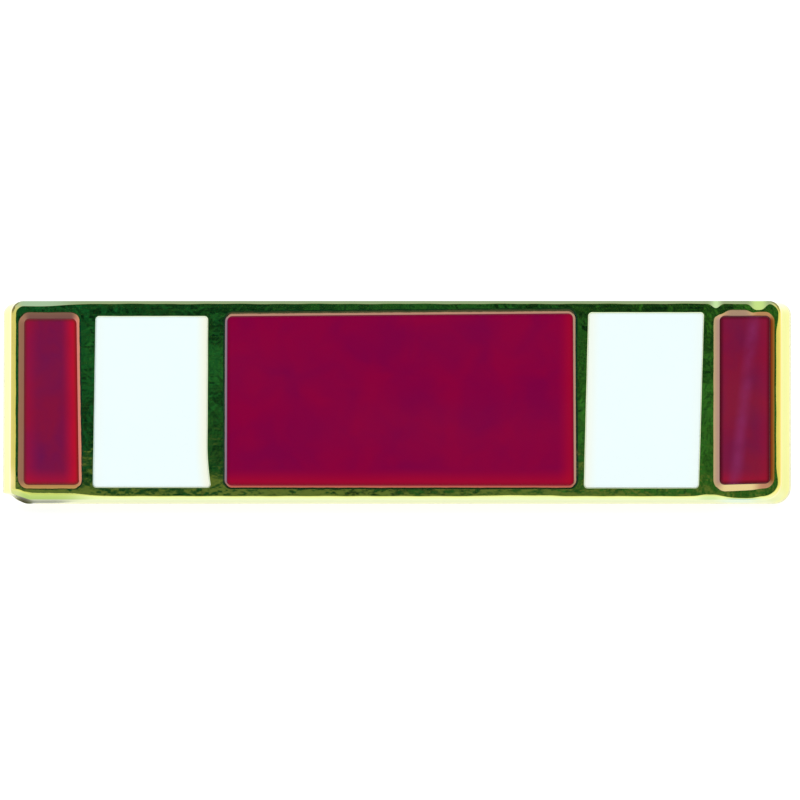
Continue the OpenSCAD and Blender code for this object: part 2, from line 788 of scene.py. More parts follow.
@dataclass(frozen=True)
class Outline:
    """A closed outline, counter-clockwise seen from the face, with the direction that each
    point faces. Outlines made with the same steps match point for point."""

    points: np.ndarray
    normals: np.ndarray

    @classmethod
    def rounded(
        cls,
        box: tuple[float, float, float, float],
        radii: Sequence[float],
        side_steps: tuple[int, int],
        arc_steps: int,
    ) -> Outline:
        """Draws a rectangle with round corners.

        Args:
            box: Left, right, foot and head.
            radii: The corner radii from the lower left, counter-clockwise.
            side_steps: How many steps the long and the upright sides have.
            arc_steps: How many steps a corner has.

        Returns:
            The outline.
        """
        left, right, foot, head = box
        corners = ((left, foot), (right, foot), (right, head), (left, head))
        inward = ((1, 1), (-1, 1), (-1, -1), (1, -1))
        points: list[tuple[float, float]] = []
        normals: list[tuple[float, float]] = []
        arcs = []
        for i, (corner, side, radius) in enumerate(zip(corners, inward, radii)):
            centre = (corner[0] + side[0] * radius, corner[1] + side[1] * radius)
            first = math.pi * (1 + i / 2)
            angles = [first + math.pi / 2 * k / arc_steps for k in range(arc_steps + 1)]
            arcs.append((centre, radius, [(math.cos(a), math.sin(a)) for a in angles]))
        for i, (centre, radius, directions) in enumerate(arcs):
            for x, y in directions:
                points.append((centre[0] + radius * x, centre[1] + radius * y))
                normals.append((x, y))
            start = points[-1]
            facing = directions[-1]
            next_centre, next_radius, next_directions = arcs[(i + 1) % 4]
            end = (
                next_centre[0] + next_radius * next_directions[0][0],
                next_centre[1] + next_radius * next_directions[0][1],
            )
            steps = side_steps[i % 2]
            for k in range(1, steps):
                share = k / steps
                points.append(
                    (
                        start[0] + (end[0] - start[0]) * share,
                        start[1] + (end[1] - start[1]) * share,
                    )
                )
                normals.append(facing)
        return cls(np.array(points), np.array(normals))

    def offset(self, distance: np.ndarray | float) -> np.ndarray:
        """Gives the points moved outwards by a distance, which may differ from point to point."""
        return self.points + self.normals * np.reshape(distance, (-1, 1))


@dataclass(frozen=True)
class EdgeForm:
    """How an edge is rounded at each point of its outline: how wide, how much of it is a flat
    facet, the tint painted over it as linear red, green, blue and share, which is painted
    highlight, reflection and shade, and how much of that tint is gone on its far side."""

    widths: np.ndarray
    facets: np.ndarray
    edge_tints: np.ndarray
    thinning: np.ndarray

    def tint_at(self, amount: np.ndarray | float) -> np.ndarray:
        """Thins the painted tint.

        Args:
            amount: What its share is multiplied by, which may differ from point to point.

        Returns:
            The film at each point.
        """
        edge_tint = self.edge_tints.copy()
        edge_tint[:, 3] *= amount
        return edge_tint


def smooth_round(values: np.ndarray, passes: int = 3) -> np.ndarray:
    """Evens out values round a closed outline, over a few of its points.

    Args:
        values: A value or a row of values for each point.
        passes: How many times each point is evened out with its neighbours.

    Returns:
        The even values.
    """
    for _ in range(passes):
        values = (np.roll(values, 1, axis=0) + 2 * values + np.roll(values, -1, axis=0)) / 4
    return values


def inside(points: np.ndarray, polygon: np.ndarray) -> np.ndarray:
    """Tests which points a closed polygon holds, by how often it crosses the line to their
    right.

    Args:
        points: The points.
        polygon: The polygon's corners in order.

    Returns:
        For each point, whether it is inside.
    """
    x, y = points[:, :1], points[:, 1:]
    x0, y0 = polygon[:, 0], polygon[:, 1]
    x1, y1 = np.roll(x0, -1), np.roll(y0, -1)
    spans = (y0 > y) != (y1 > y)
    rise = np.where(y1 == y0, 1.0, y1 - y0)
    crossings = spans & (x < (x1 - x0) * (y - y0) / rise + x0)
    return crossings.sum(axis=1) % 2 == 1


class MeshDraft:
    """Collects the points, faces and finishes of a mesh before it is made."""

    def __init__(self) -> None:
        """Starts an empty draft."""
        self.points: list[tuple[float, float, float]] = []
        self.faces: list[tuple[int, ...]] = []
        self.finishes: list[int] = []
        self.edge_tints: list[np.ndarray] = []

    def add_points(
        self, flat: np.ndarray, heights: np.ndarray, edge_tints: np.ndarray | None = None
    ) -> list[int]:
        """Adds points.

        Args:
            flat: Their places in the plane.
            heights: Their heights.
            edge_tints: The painted tints over them, or none.

        Returns:
            Their numbers.
        """
        start = len(self.points)
        self.points.extend(zip(flat[:, 0].tolist(), flat[:, 1].tolist(), heights.tolist()))
        self.edge_tints.append(np.zeros((len(flat), 4)) if edge_tints is None else edge_tints)
        return list(range(start, len(self.points)))

    def add_face(self, corners: Sequence[int], finish: int = 0) -> None:
        """Adds a face with one of the object's finishes."""
        self.faces.append(tuple(corners))
        self.finishes.append(finish)

    def bridge(self, lower: Sequence[int], upper: Sequence[int]) -> None:
        """Joins two rings with a band of faces.

        Args:
            lower: The numbers of the first ring's points.
            upper: Those of the second ring, which has as many.
        """
        count = len(lower)
        for i in range(count):
            j = (i + 1) % count
            self.add_face((lower[i], lower[j], upper[j], upper[i]))

    def make(
        self, name: str, matrix: Matrix, finishes: Sequence[bpy.types.Material]
    ) -> bpy.types.Object:
        """Makes the object, with its faces turned outwards.

        Args:
            name: The piece's name.
            matrix: From the draft's frame to the row frame.
            finishes: The materials, in the order of the faces' finish numbers.

        Returns:
            The object, at the origin.
        """
        mesh = bpy.data.meshes.new(name)
        mesh.from_pydata(self.points, [], self.faces)
        mesh.polygons.foreach_set("material_index", self.finishes)
        # The painted edge tints: painted highlights, reflections and shade along the metal's
        # edges
        edge_tint = mesh.attributes.new(PAINTED_EDGE_TINT, "FLOAT_COLOR", "POINT")
        edge_tint.data.foreach_set("color", np.concatenate(self.edge_tints).ravel())
        for finish in finishes:
            mesh.materials.append(finish)
        mesh.transform(matrix)
        turn_outwards(mesh)
        return new_object(name, mesh)


def new_object(name: str, data: bpy.types.ID) -> bpy.types.Object:
    """Puts a mesh, a camera or a light in the scene.

    Args:
        name: The object's name.
        data: The mesh, the camera or the light.

    Returns:
        The object, at the origin.
    """
    piece = bpy.data.objects.new(name, data)
    bpy.context.scene.collection.objects.link(piece)
    return piece


def new_board(
    name: str, half_width: float, below: float, above: float, finish: bpy.types.Material
) -> bpy.types.Object:
    """Makes a flat board for the studio.

    Args:
        name: The board's name.
        half_width: Half its width, in millimetres.
        below: How far it reaches below its origin, in millimetres.
        above: How far it reaches above its origin, in millimetres.
        finish: Its material.

    Returns:
        The board, lying flat at the origin, as part of the stage.
    """
    left, right, foot, head = (side * MM for side in (-half_width, half_width, -below, above))
    mesh = bpy.data.meshes.new(name)
    corners = [(left, foot, 0), (right, foot, 0), (right, head, 0), (left, head, 0)]
    mesh.from_pydata(corners, [], [(0, 1, 2, 3)])
    mesh.materials.append(finish)
    board = new_object(name, mesh)
    return board


def turn_outwards(mesh: bpy.types.Mesh, weld: float = 0.0) -> None:
    """Turns a mesh's faces outwards.

    Args:
        mesh: The mesh.
        weld: How close points have to be, in metres, to be merged first, or 0 to merge none.
    """
    shape = bmesh.new()
    shape.from_mesh(mesh)
    if weld:
        bmesh.ops.remove_doubles(shape, verts=shape.verts, dist=weld)
    bmesh.ops.recalc_face_normals(shape, faces=shape.faces)
    shape.to_mesh(mesh)
    shape.free()


def shade_smooth(mesh: bpy.types.Mesh, crease: float) -> None:
    """Shades a mesh smooth, apart from edges that turn by more than crease degrees."""
    mesh.shade_smooth()
    mesh.set_sharp_from_angle(angle=math.radians(crease))


def dress(piece: bpy.types.Object, slot: Slot, *nodes: str) -> None:
    """Lets a finished piece stand for its CAD nodes and ride with them, and reports it.

    Args:
        piece: The piece.
        slot: The material slot that it has in the record; not used.
        nodes: The CAD nodes that it replaces.
    """
    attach(piece, BODY)
    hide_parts(*nodes)
    corners = np.array([corner[:] for corner in piece.bound_box])
    log.info(
        "%s: %d faces, %.2f x %.2f x %.2f mm",
        piece.name,
        len(piece.data.polygons),
        *((corners.max(axis=0) - corners.min(axis=0)) / MM),
    )


def new_geometry_tree(name: str, sizes: Mapping[str, str]) -> bpy.types.NodeTree:
    """Makes a Geometry Nodes tree with a geometry input and output and named inputs.

    Args:
        name: The tree's name.
        sizes: The socket type of each further input, by its name.

    Returns:
        The tree, with no nodes in it yet.
    """
    tree = bpy.data.node_groups.new(name, "GeometryNodeTree")
    tree.interface.new_socket("Geometry", in_out="INPUT", socket_type="NodeSocketGeometry")
    for label, kind in sizes.items():
        tree.interface.new_socket(label, in_out="INPUT", socket_type=kind)
    tree.interface.new_socket("Geometry", in_out="OUTPUT", socket_type="NodeSocketGeometry")
    return tree


def run_geometry_tree(
    tree: bpy.types.NodeTree, name: str, start: bpy.types.Mesh, values: Mapping[str, Any]
) -> bpy.types.Mesh:
    """Runs a Geometry Nodes tree on a mesh and keeps the result as a plain mesh.

    Args:
        tree: The tree.
        name: The name of the result.
        start: The mesh that the tree starts from.
        values: The values of the tree's inputs, by their names.

    Returns:
        The new mesh.
    """
    carrier = new_object(name + "_start", start)
    modifier = carrier.modifiers.new(tree.name, "NODES")
    modifier.node_group = tree
    identifiers = {
        item.name: item.identifier
        for item in tree.interface.items_tree
        if item.item_type == "SOCKET" and item.in_out == "INPUT"
    }
    for label, value in values.items():
        modifier[identifiers[label]] = value
    graph = bpy.context.evaluated_depsgraph_get()
    result = bpy.data.meshes.new_from_object(carrier.evaluated_get(graph))
    result.name = name
    carrier.modifiers.clear()
    bpy.data.objects.remove(carrier)
    return result


@dataclass(frozen=True)
class CellPlan:
    """What the cell has beyond its CAD solid: its enamel, its corners, how its walls lean,
    how far its head and foot are off, how much each climbs to the right, how wide its edge is
    rounded, the highlight and reflection colour painted over that edge, and the stretches where
    its edge is rubbed down further and painted with more light and shade."""

    node: str
    piece: str
    slot: Slot
    finish: CrimsonEnamel | WhiteEnamel
    corner_radius: float
    left_bend: WallBend
    right_bend: WallBend
    head_shift: float = 0.0
    foot_shift: float = 0.0
    foot_climb: float = 0.0
    head_climb: float = 0.0
    edge_width: float = 0.11
    edge_tint: str = "#C38973"
    tint_share: float = 0.9
    wear_and_light: tuple[EdgeWearAndLight, ...] = ()


@dataclass(frozen=True)
class Cell:
    """One struck cell, in the plate's frame."""

    plan: CellPlan
    left: float
    right: float
    foot: float
    head: float

    @classmethod
    def from_node(cls, plan: CellPlan, points: np.ndarray) -> Cell:
        """Measures a cell from the CAD enamel that fills it, with the gap round it.

        Args:
            plan: What the cell has beyond the solid.
            points: The vertices of the enamel.

        Returns:
            The cell.
        """
        low, high = points.min(axis=0) - FILL_GAP, points.max(axis=0) + FILL_GAP
        return cls(
            plan,
            float(low[0]),
            float(high[0]),
            float(low[1]) + plan.foot_shift,
            float(high[1]) + plan.head_shift,
        )

    def bent(self, points: np.ndarray) -> np.ndarray:
        """Leans the cell's walls.

        Args:
            points: Points of the straight cell.

        Returns:
            Where the leaning walls put them.
        """
        rise = (points[:, 1] - self.foot) / (self.head - self.foot)
        across = np.clip((points[:, 0] - self.left) / (self.right - self.left), 0.0, 1.0)
        left = self.plan.left_bend.offset(rise)
        right = self.plan.right_bend.offset(rise)
        lift = self.plan.foot_climb * across
        lift = lift + (self.plan.head_climb * across - lift) * np.clip(rise, 0.0, 1.0)
        return points + np.stack([left + (right - left) * across, lift], axis=1)


@dataclass
class StruckPlate:
    """The die-struck plate: drafted walls, a polished edge round the face, and five cells
    with rounded edges. Its sizes come from the CAD solid, and how its edges are rubbed down, the
    light and shade painted along them, its filed corner and its slight crown from the photograph.
    The file cut square to filed_towards, filed_reach from the middle of the plate at its walls
    and at its face."""

    frame: PlateFrame
    cells: Sequence[Cell]
    length: float
    height: float
    thickness: float
    face_length: float
    face_height: float
    cell_floor: float
    corner_radii: tuple[float, float, float, float] = (0.4, 0.55, 0.4, 0.4)
    back_edge: float = 0.03
    back_turns: tuple[float, ...] = (0.0, 45.0, 90.0)
    face_edge: float = 0.1
    cell_edge_depth: float = 0.035
    cell_facet_depth: float = 0.015
    cell_spacing: float = 0.06
    unevenness: float = 0.05
    uneven_waves: tuple[float, float, float, float] = (2.1, 1.3, 5.3, -4.1)
    face_tint_fade: int = 4
    cell_tint_fade: int = 3
    tint_loss: float = 0.45
    facet_hold: float = 0.4
    crown: float = 0.03
    ripple: float = 0.0016
    ripple_waves: tuple[float, float, float, float] = (3.1, 1.7, 2.3, -2.9)
    ripple_phase: float = 0.8
    side_steps: tuple[int, int] = (420, 60)
    arc_steps: int = 10
    edge_levels: int = 7
    edge_margin: float = 0.008
    facet_slope: float = 0.36
    land_spacing: float = 0.12
    land_row_share: float = 0.87
    land_clearance: float = 0.55
    land_tolerance: float = 1e-7
    crease: float = 40.0
    filed_towards: tuple[float, float] = (-0.322, -0.947)
    filed_reach: tuple[float, float] = (6.825, 6.63)
    wall_rings: tuple[WallRing, ...] = (
        WallRing(0.2, edge_tint=0.3),
        WallRing(0.4, edge_tint=0.8),
        WallRing(0.55, burr=1.0),
        WallRing(0.7),
        WallRing(0.85, edge_tint=0.8),
    )
    # Stretches round the face's edge. Their widths and facets are shapes rubbed into the edge;
    # their tints are painted light: painted reflections and highlights, such as the bright spots
    # near the head's right end
    wear_and_light: tuple[EdgeWearAndLight, ...] = (
        EdgeWearAndLight(Side.HEAD, width=-0.01, facet=1.0, edge_tint="#98B084", tint_share=0.95),
        EdgeWearAndLight(Side.HEAD, -11.7, 1.15, 0.08, edge_tint="#B4D2AA"),
        EdgeWearAndLight(Side.HEAD, 11.67, 0.24, 0.205, ends=10.0, edge_tint="#D5F394"),
        EdgeWearAndLight(Side.HEAD, 10.3, 0.13, 0.16, ends=6.0, edge_tint="#DCFFB8"),
        EdgeWearAndLight(Side.FOOT, width=0.01, edge_tint="#E4F6C8", tint_share=0.8),
        EdgeWearAndLight(Side.FOOT, -11.4, 1.5, 0.15, edge_tint="#A8C470", tint_share=0.95),
        EdgeWearAndLight(Side.FOOT, 4.0, 1.3, 0.03),
        EdgeWearAndLight(Side.FOOT, 10.1, 0.35, 0.07, edge_tint="#CCE4A8"),
        EdgeWearAndLight(Side.FOOT, 11.15, 0.5, -0.07, edge_tint="#A0CCB4"),
        EdgeWearAndLight(Side.RIGHT, width=0.07, edge_tint="#F2D86C", tint_share=0.8),
        EdgeWearAndLight(Side.RIGHT, 2.8, 0.4, -0.08),
        EdgeWearAndLight(Side.RIGHT, -2.7, 0.35, -0.08),
        EdgeWearAndLight(Side.LEFT, width=0.09, edge_tint="#DCCC74", tint_share=0.95),
        EdgeWearAndLight(Side.LEFT, -2.6, 0.35, edge_tint="#F8E4A0", tint_share=0.9),
        EdgeWearAndLight(Side.LEFT, -3.15, 0.3, edge_tint="#B8CC80"),
    )
    # Tints on the outer walls: a greenish painted reflection of light from below along the foot,
    # painted yellow reflections on the right, and a dark olive band at the lower left
    wall_wear_and_light: tuple[EdgeWearAndLight, ...] = (
        EdgeWearAndLight(Side.FOOT, edge_tint="#C0D468", tint_share=0.9),
        EdgeWearAndLight(Side.RIGHT, edge_tint="#E0E258"),
        EdgeWearAndLight(Side.FOOT, 11.15, 0.6, edge_tint="#B4DCC4"),
        EdgeWearAndLight(Side.FOOT, -11.5, 0.9, 0.05, edge_tint="#4E5C26", tint_share=0.95),
        EdgeWearAndLight(Side.FOOT, -12.25, 0.32, 0.1, edge_tint="#3E3C10"),
    )

    @classmethod
    def from_node(
        cls, frame: PlateFrame, cells: Sequence[Cell], points: np.ndarray, cell_floor: float
    ) -> StruckPlate:
        """Measures the plate from its CAD solid, in the plate's frame.

        Args:
            frame: The plate's frame.
            cells: The cells.
            points: The solid's vertices.
            cell_floor: The height of the cells' floors.

        Returns:
            The plate, ready to be built.
        """
        thickness = float(points[:, 2].max())
        whole = np.abs(points[points[:, 2] > -LEVEL]).max(axis=0)
        face = np.abs(points[points[:, 2] > thickness - LEVEL]).max(axis=0)
        return cls(
            frame,
            cells,
            2 * float(whole[0]),
            2 * float(whole[1]),
            thickness,
            2 * float(face[0]),
            2 * float(face[1]),
            cell_floor,
        )

    def heights(self, flat: np.ndarray, height: float | np.ndarray) -> np.ndarray:
        """Gives the heights of points on the crowned plate.

        Args:
            flat: The points' places in the plane of the plate.
            height: How high they would be on a flat plate.

        Returns:
            Their heights, lowered towards the long sides in proportion, with a faint ripple.
        """
        x, y = flat[:, 0], flat[:, 1]
        drop = self.crown * (y / (self.face_height / 2)) ** 2
        a, b, c, d = self.ripple_waves
        drop += self.ripple * (
            1 + np.sin(a * x + b * y) * np.sin(c * x + d * y + self.ripple_phase)
        )
        return height * (1 - drop / self.thickness)

    def filed(self, flat: np.ndarray, inward: float) -> np.ndarray:
        """Files the lower left corner off.

        Args:
            flat: Points of the plate in its plane.
            inward: From 0 at the walls to 1 where their rounded edge meets the face.

        Returns:
            The points, with those past the file's cut moved back to it.
        """
        towards = np.array(self.filed_towards)
        reach = self.filed_reach[0] + (self.filed_reach[1] - self.filed_reach[0]) * inward
        past = np.clip(flat @ towards - reach, 0.0, None)
        return flat - past[:, np.newaxis] * towards

    def edge(
        self,
        outline: Outline,
        width: float,
        wear_and_light: Sequence[EdgeWearAndLight],
        phase: float,
        edge_tint: str = "#FFFFFF",
        tint_share: float = 0.0,
    ) -> EdgeForm:
        """Works out how an edge is rounded along its outline, and the tint painted over it.

        Args:
            outline: The edge's outline.
            width: The width outside the stretches.
            wear_and_light: The stretches where the edge is rubbed down further, with painted
                light and shade.
            phase: Sets how the slight unevenness of the hand work falls.
            edge_tint: The painted highlight colour over the edge outside the stretches.
            tint_share: How much of the metal that tint hides.

        Returns:
            The form of the edge.
        """
        x, y = outline.points[:, 0], outline.points[:, 1]
        a, b, c, d = self.uneven_waves
        uneven = np.sin(a * x + phase) * np.sin(b * y + 2 * phase) + np.sin(c * x + d * y)
        widths = width * (1 + self.unevenness * uneven)
        facets = np.zeros(len(widths))
        thinning = np.zeros(len(widths))
        edge_tints = np.tile((*linear_colour(edge_tint)[:3], tint_share), (len(widths), 1))
        for stretch in wear_and_light:
            share = stretch.share(outline)
            widths = widths + share * (stretch.width - stretch.taper * (x - stretch.centre))
            facets = facets + share * stretch.facet
            thinning = thinning + share * stretch.thinning
            if stretch.edge_tint:
                stretch_tint = np.array((*linear_colour(stretch.edge_tint)[:3], stretch.tint_share))
                edge_tints = edge_tints + (stretch_tint - edge_tints) * share[:, np.newaxis]
        facets = np.clip(smooth_round(facets), 0.0, 1.0)
        thinning = np.clip(thinning + self.tint_loss - self.facet_hold * facets, 0.0, 1.0)
        return EdgeForm(smooth_round(widths), facets, smooth_round(edge_tints), thinning)

    def build(
        self, face_finish: bpy.types.Material, back_finish: bpy.types.Material
    ) -> bpy.types.Object:
        """Builds the plate as one closed mesh.

        Args:
            face_finish: The finish of the face, the cells and the outer walls.
            back_finish: The finish of the back.

        Returns:
            The object.
        """
        draft = MeshDraft()
        land_edge, land_ring = self.add_walls(draft)
        holes = [self.add_cell(draft, cell, float(i)) for i, cell in enumerate(self.cells)]
        self.add_land(draft, land_edge, land_ring, holes)
        plate = draft.make("struck_plate", self.frame.matrix(), (face_finish, back_finish))
        shade_smooth(plate.data, self.crease)
        return plate

    def add_walls(self, draft: MeshDraft) -> tuple[np.ndarray, list[int]]:
        """Adds the back, the drafted walls and the polished edge round the face.

        Args:
            draft: The mesh.

        Returns:
            The outline where the edge meets the face, and the numbers of its points.
        """
        halves = (
            (self.length / 2, self.height / 2),
            (self.face_length / 2 + self.face_edge, self.face_height / 2 + self.face_edge),
        )
        base, brink = (
            Outline.rounded((-x, x, -y, y), self.corner_radii, self.side_steps, self.arc_steps)
            for x, y in halves
        )
        form = self.edge(brink, self.face_edge, self.wear_and_light, phase=0.4)
        wall_form = self.edge(base, 0.0, self.wall_wear_and_light, phase=0.0)
        wall_top = self.thickness - self.face_edge
        rings = []
        for angle in self.back_turns:
            turn = math.radians(angle)
            flat = self.filed(base.offset(-self.back_edge * (1 - math.sin(turn))), 0.0)
            rings.append((flat, self.back_edge * (1 - math.cos(turn)), None))
        for ring in self.wall_rings:
            flat = self.filed(base.points + (brink.points - base.points) * ring.rise, 0.0)
            flat = flat + base.normals * wall_form.widths[:, np.newaxis] * ring.burr
            height = self.back_edge + (wall_top - self.back_edge) * ring.rise
            rings.append((flat, height, wall_form.tint_at(ring.edge_tint)))
        rings.append((self.filed(brink.points, 0.0), wall_top, form.edge_tints))
        facet_depth = np.clip(form.widths * self.facet_slope, 0.0, self.face_edge)
        for level in range(1, self.edge_levels + 1):
            turn = math.pi / 2 * level / self.edge_levels
            run = 1 - math.cos(turn)
            rise = self.face_edge * math.sin(turn)
            facet_run = (level - 1) / (self.edge_levels - 1)
            facet_rise = self.face_edge - facet_depth * (1 - facet_run)
            run = run + (facet_run - run) * form.facets
            rise = rise + (facet_rise - rise) * form.facets
            fade = (1 - form.facets) * (level / self.edge_levels) ** self.face_tint_fade
            edge_tint = form.tint_at(1 - fade)
            flat = self.filed(brink.offset(-form.widths * run), level / self.edge_levels)
            rings.append((flat, wall_top + rise, edge_tint))
        support = self.filed(brink.offset(-form.widths - self.edge_margin), 1.0)
        rings.append((support, self.thickness, None))
        numbers = [draft.add_points(flat, self.heights(flat, z), edge_tint) for flat, z, edge_tint in rings]
        draft.add_face(numbers[0][::-1], finish=1)
        for lower, upper in zip(numbers, numbers[1:]):
            draft.bridge(lower, upper)
        return rings[-1][0], numbers[-1]

    def add_cell(
        self, draft: MeshDraft, cell: Cell, phase: float
    ) -> tuple[np.ndarray, list[int]]:
        """Adds a cell's floor, its walls and the rounded edge at their top.

        Args:
            draft: The mesh.
            cell: The cell.
            phase: Sets how the unevenness of its edge falls.

        Returns:
            The outline where the edge meets the face, and the numbers of its points.
        """
        plan = cell.plan
        wall = Outline.rounded(
            (cell.left, cell.right, cell.foot, cell.head),
            [plan.corner_radius] * 4,
            (round((cell.right - cell.left) / self.cell_spacing), self.side_steps[1]),
            self.arc_steps,
        )
        # The cell's edge tint is its painted highlight and reflection colour
        form = self.edge(wall, plan.edge_width, plan.wear_and_light, phase, plan.edge_tint, plan.tint_share)
        depths = self.cell_edge_depth + self.cell_facet_depth * form.facets
        rings = [
            (wall.points, self.cell_floor, form.edge_tints),
            (wall.points, (self.cell_floor + self.thickness) / 2, form.edge_tints),
        ]
        for level in range(self.edge_levels + 1):
            out = level / self.edge_levels
            turn = math.pi / 2 * (1 - out)
            run = math.sin(turn)
            fall = form.facets * run + (1 - form.facets) * (1 - math.cos(turn))
            edge_tint = form.tint_at(1 - form.thinning * out**self.cell_tint_fade)
            rings.append(
                (wall.offset(form.widths * (1 - run)), self.thickness - depths * fall, edge_tint)
            )
        support = wall.offset(form.widths + self.edge_margin)
        rings.append((support, self.thickness, None))
        numbers = []
        for flat, height, edge_tint in rings:
            bent = cell.bent(flat)
            numbers.append(draft.add_points(bent, self.heights(bent, height), edge_tint))
        draft.add_face(numbers[0])
        for lower, upper in zip(numbers, numbers[1:]):
            draft.bridge(upper, lower)
        return cell.bent(rings[-1][0]), numbers[-1]

    def add_land(
        self,
        draft: MeshDraft,
        edge: np.ndarray,
        ring: Sequence[int],
        holes: Sequence[tuple[np.ndarray, list[int]]],
    ) -> None:
        """Adds the polished land between the outer edge and the cells, with even triangles so
        that the crown shades smoothly.

        Args:
            draft: The mesh.
            edge: The outline round the face.
            ring: The numbers of its points.
            holes: For each cell, its outline and the numbers of its points.
        """
        outlines = [edge] + [outline for outline, _ in holes]
        numbers = [list(ring)] + [list(hole) for _, hole in holes]
        borders = np.concatenate(outlines)
        spacing = self.land_spacing
        rows = np.arange(edge[:, 1].min(), edge[:, 1].max(), spacing * self.land_row_share)
        columns = np.arange(edge[:, 0].min(), edge[:, 0].max(), spacing)
        grid = np.array(
            [(x + (i % 2) * spacing / 2, y) for i, y in enumerate(rows) for x in columns]
        )
        grid = grid[self.on_land(grid, outlines)]
        nearest = np.array(
            [np.hypot(borders[:, 0] - x, borders[:, 1] - y).min() for x, y in grid]
        )
        grid = grid[nearest > spacing * self.land_clearance]
        points = np.concatenate([borders, grid])
        edges = []
        start = 0
        for outline in outlines:
            count = len(outline)
            edges += [(start + i, start + (i + 1) % count) for i in range(count)]
            start += count
        places = [Vector(point) for point in points.tolist()]
        result = delaunay_2d_cdt(places, edges, [], 0, self.land_tolerance, True)
        if len(result[0]) != len(points):
            raise ValueError("two points of the land fell together")
        source = np.array([origin[0] for origin in result[3]])
        triangles = source[np.array(result[2])]
        triangles = triangles[self.on_land(points[triangles].mean(axis=1), outlines)]
        order = sum(numbers, []) + draft.add_points(grid, self.heights(grid, self.thickness))
        for corners in triangles:
            draft.add_face([order[i] for i in corners])

    @staticmethod
    def on_land(points: np.ndarray, outlines: Sequence[np.ndarray]) -> np.ndarray:
        """Tests which points are on the land.

        Args:
            points: The points.
            outlines: The outline round the face, and then those round the cells.

        Returns:
            For each point, whether it is within the first outline and outside the others.
        """
        kept = inside(points, outlines[0])
        for outline in outlines[1:]:
            kept &= ~inside(points, outline)
        return kept


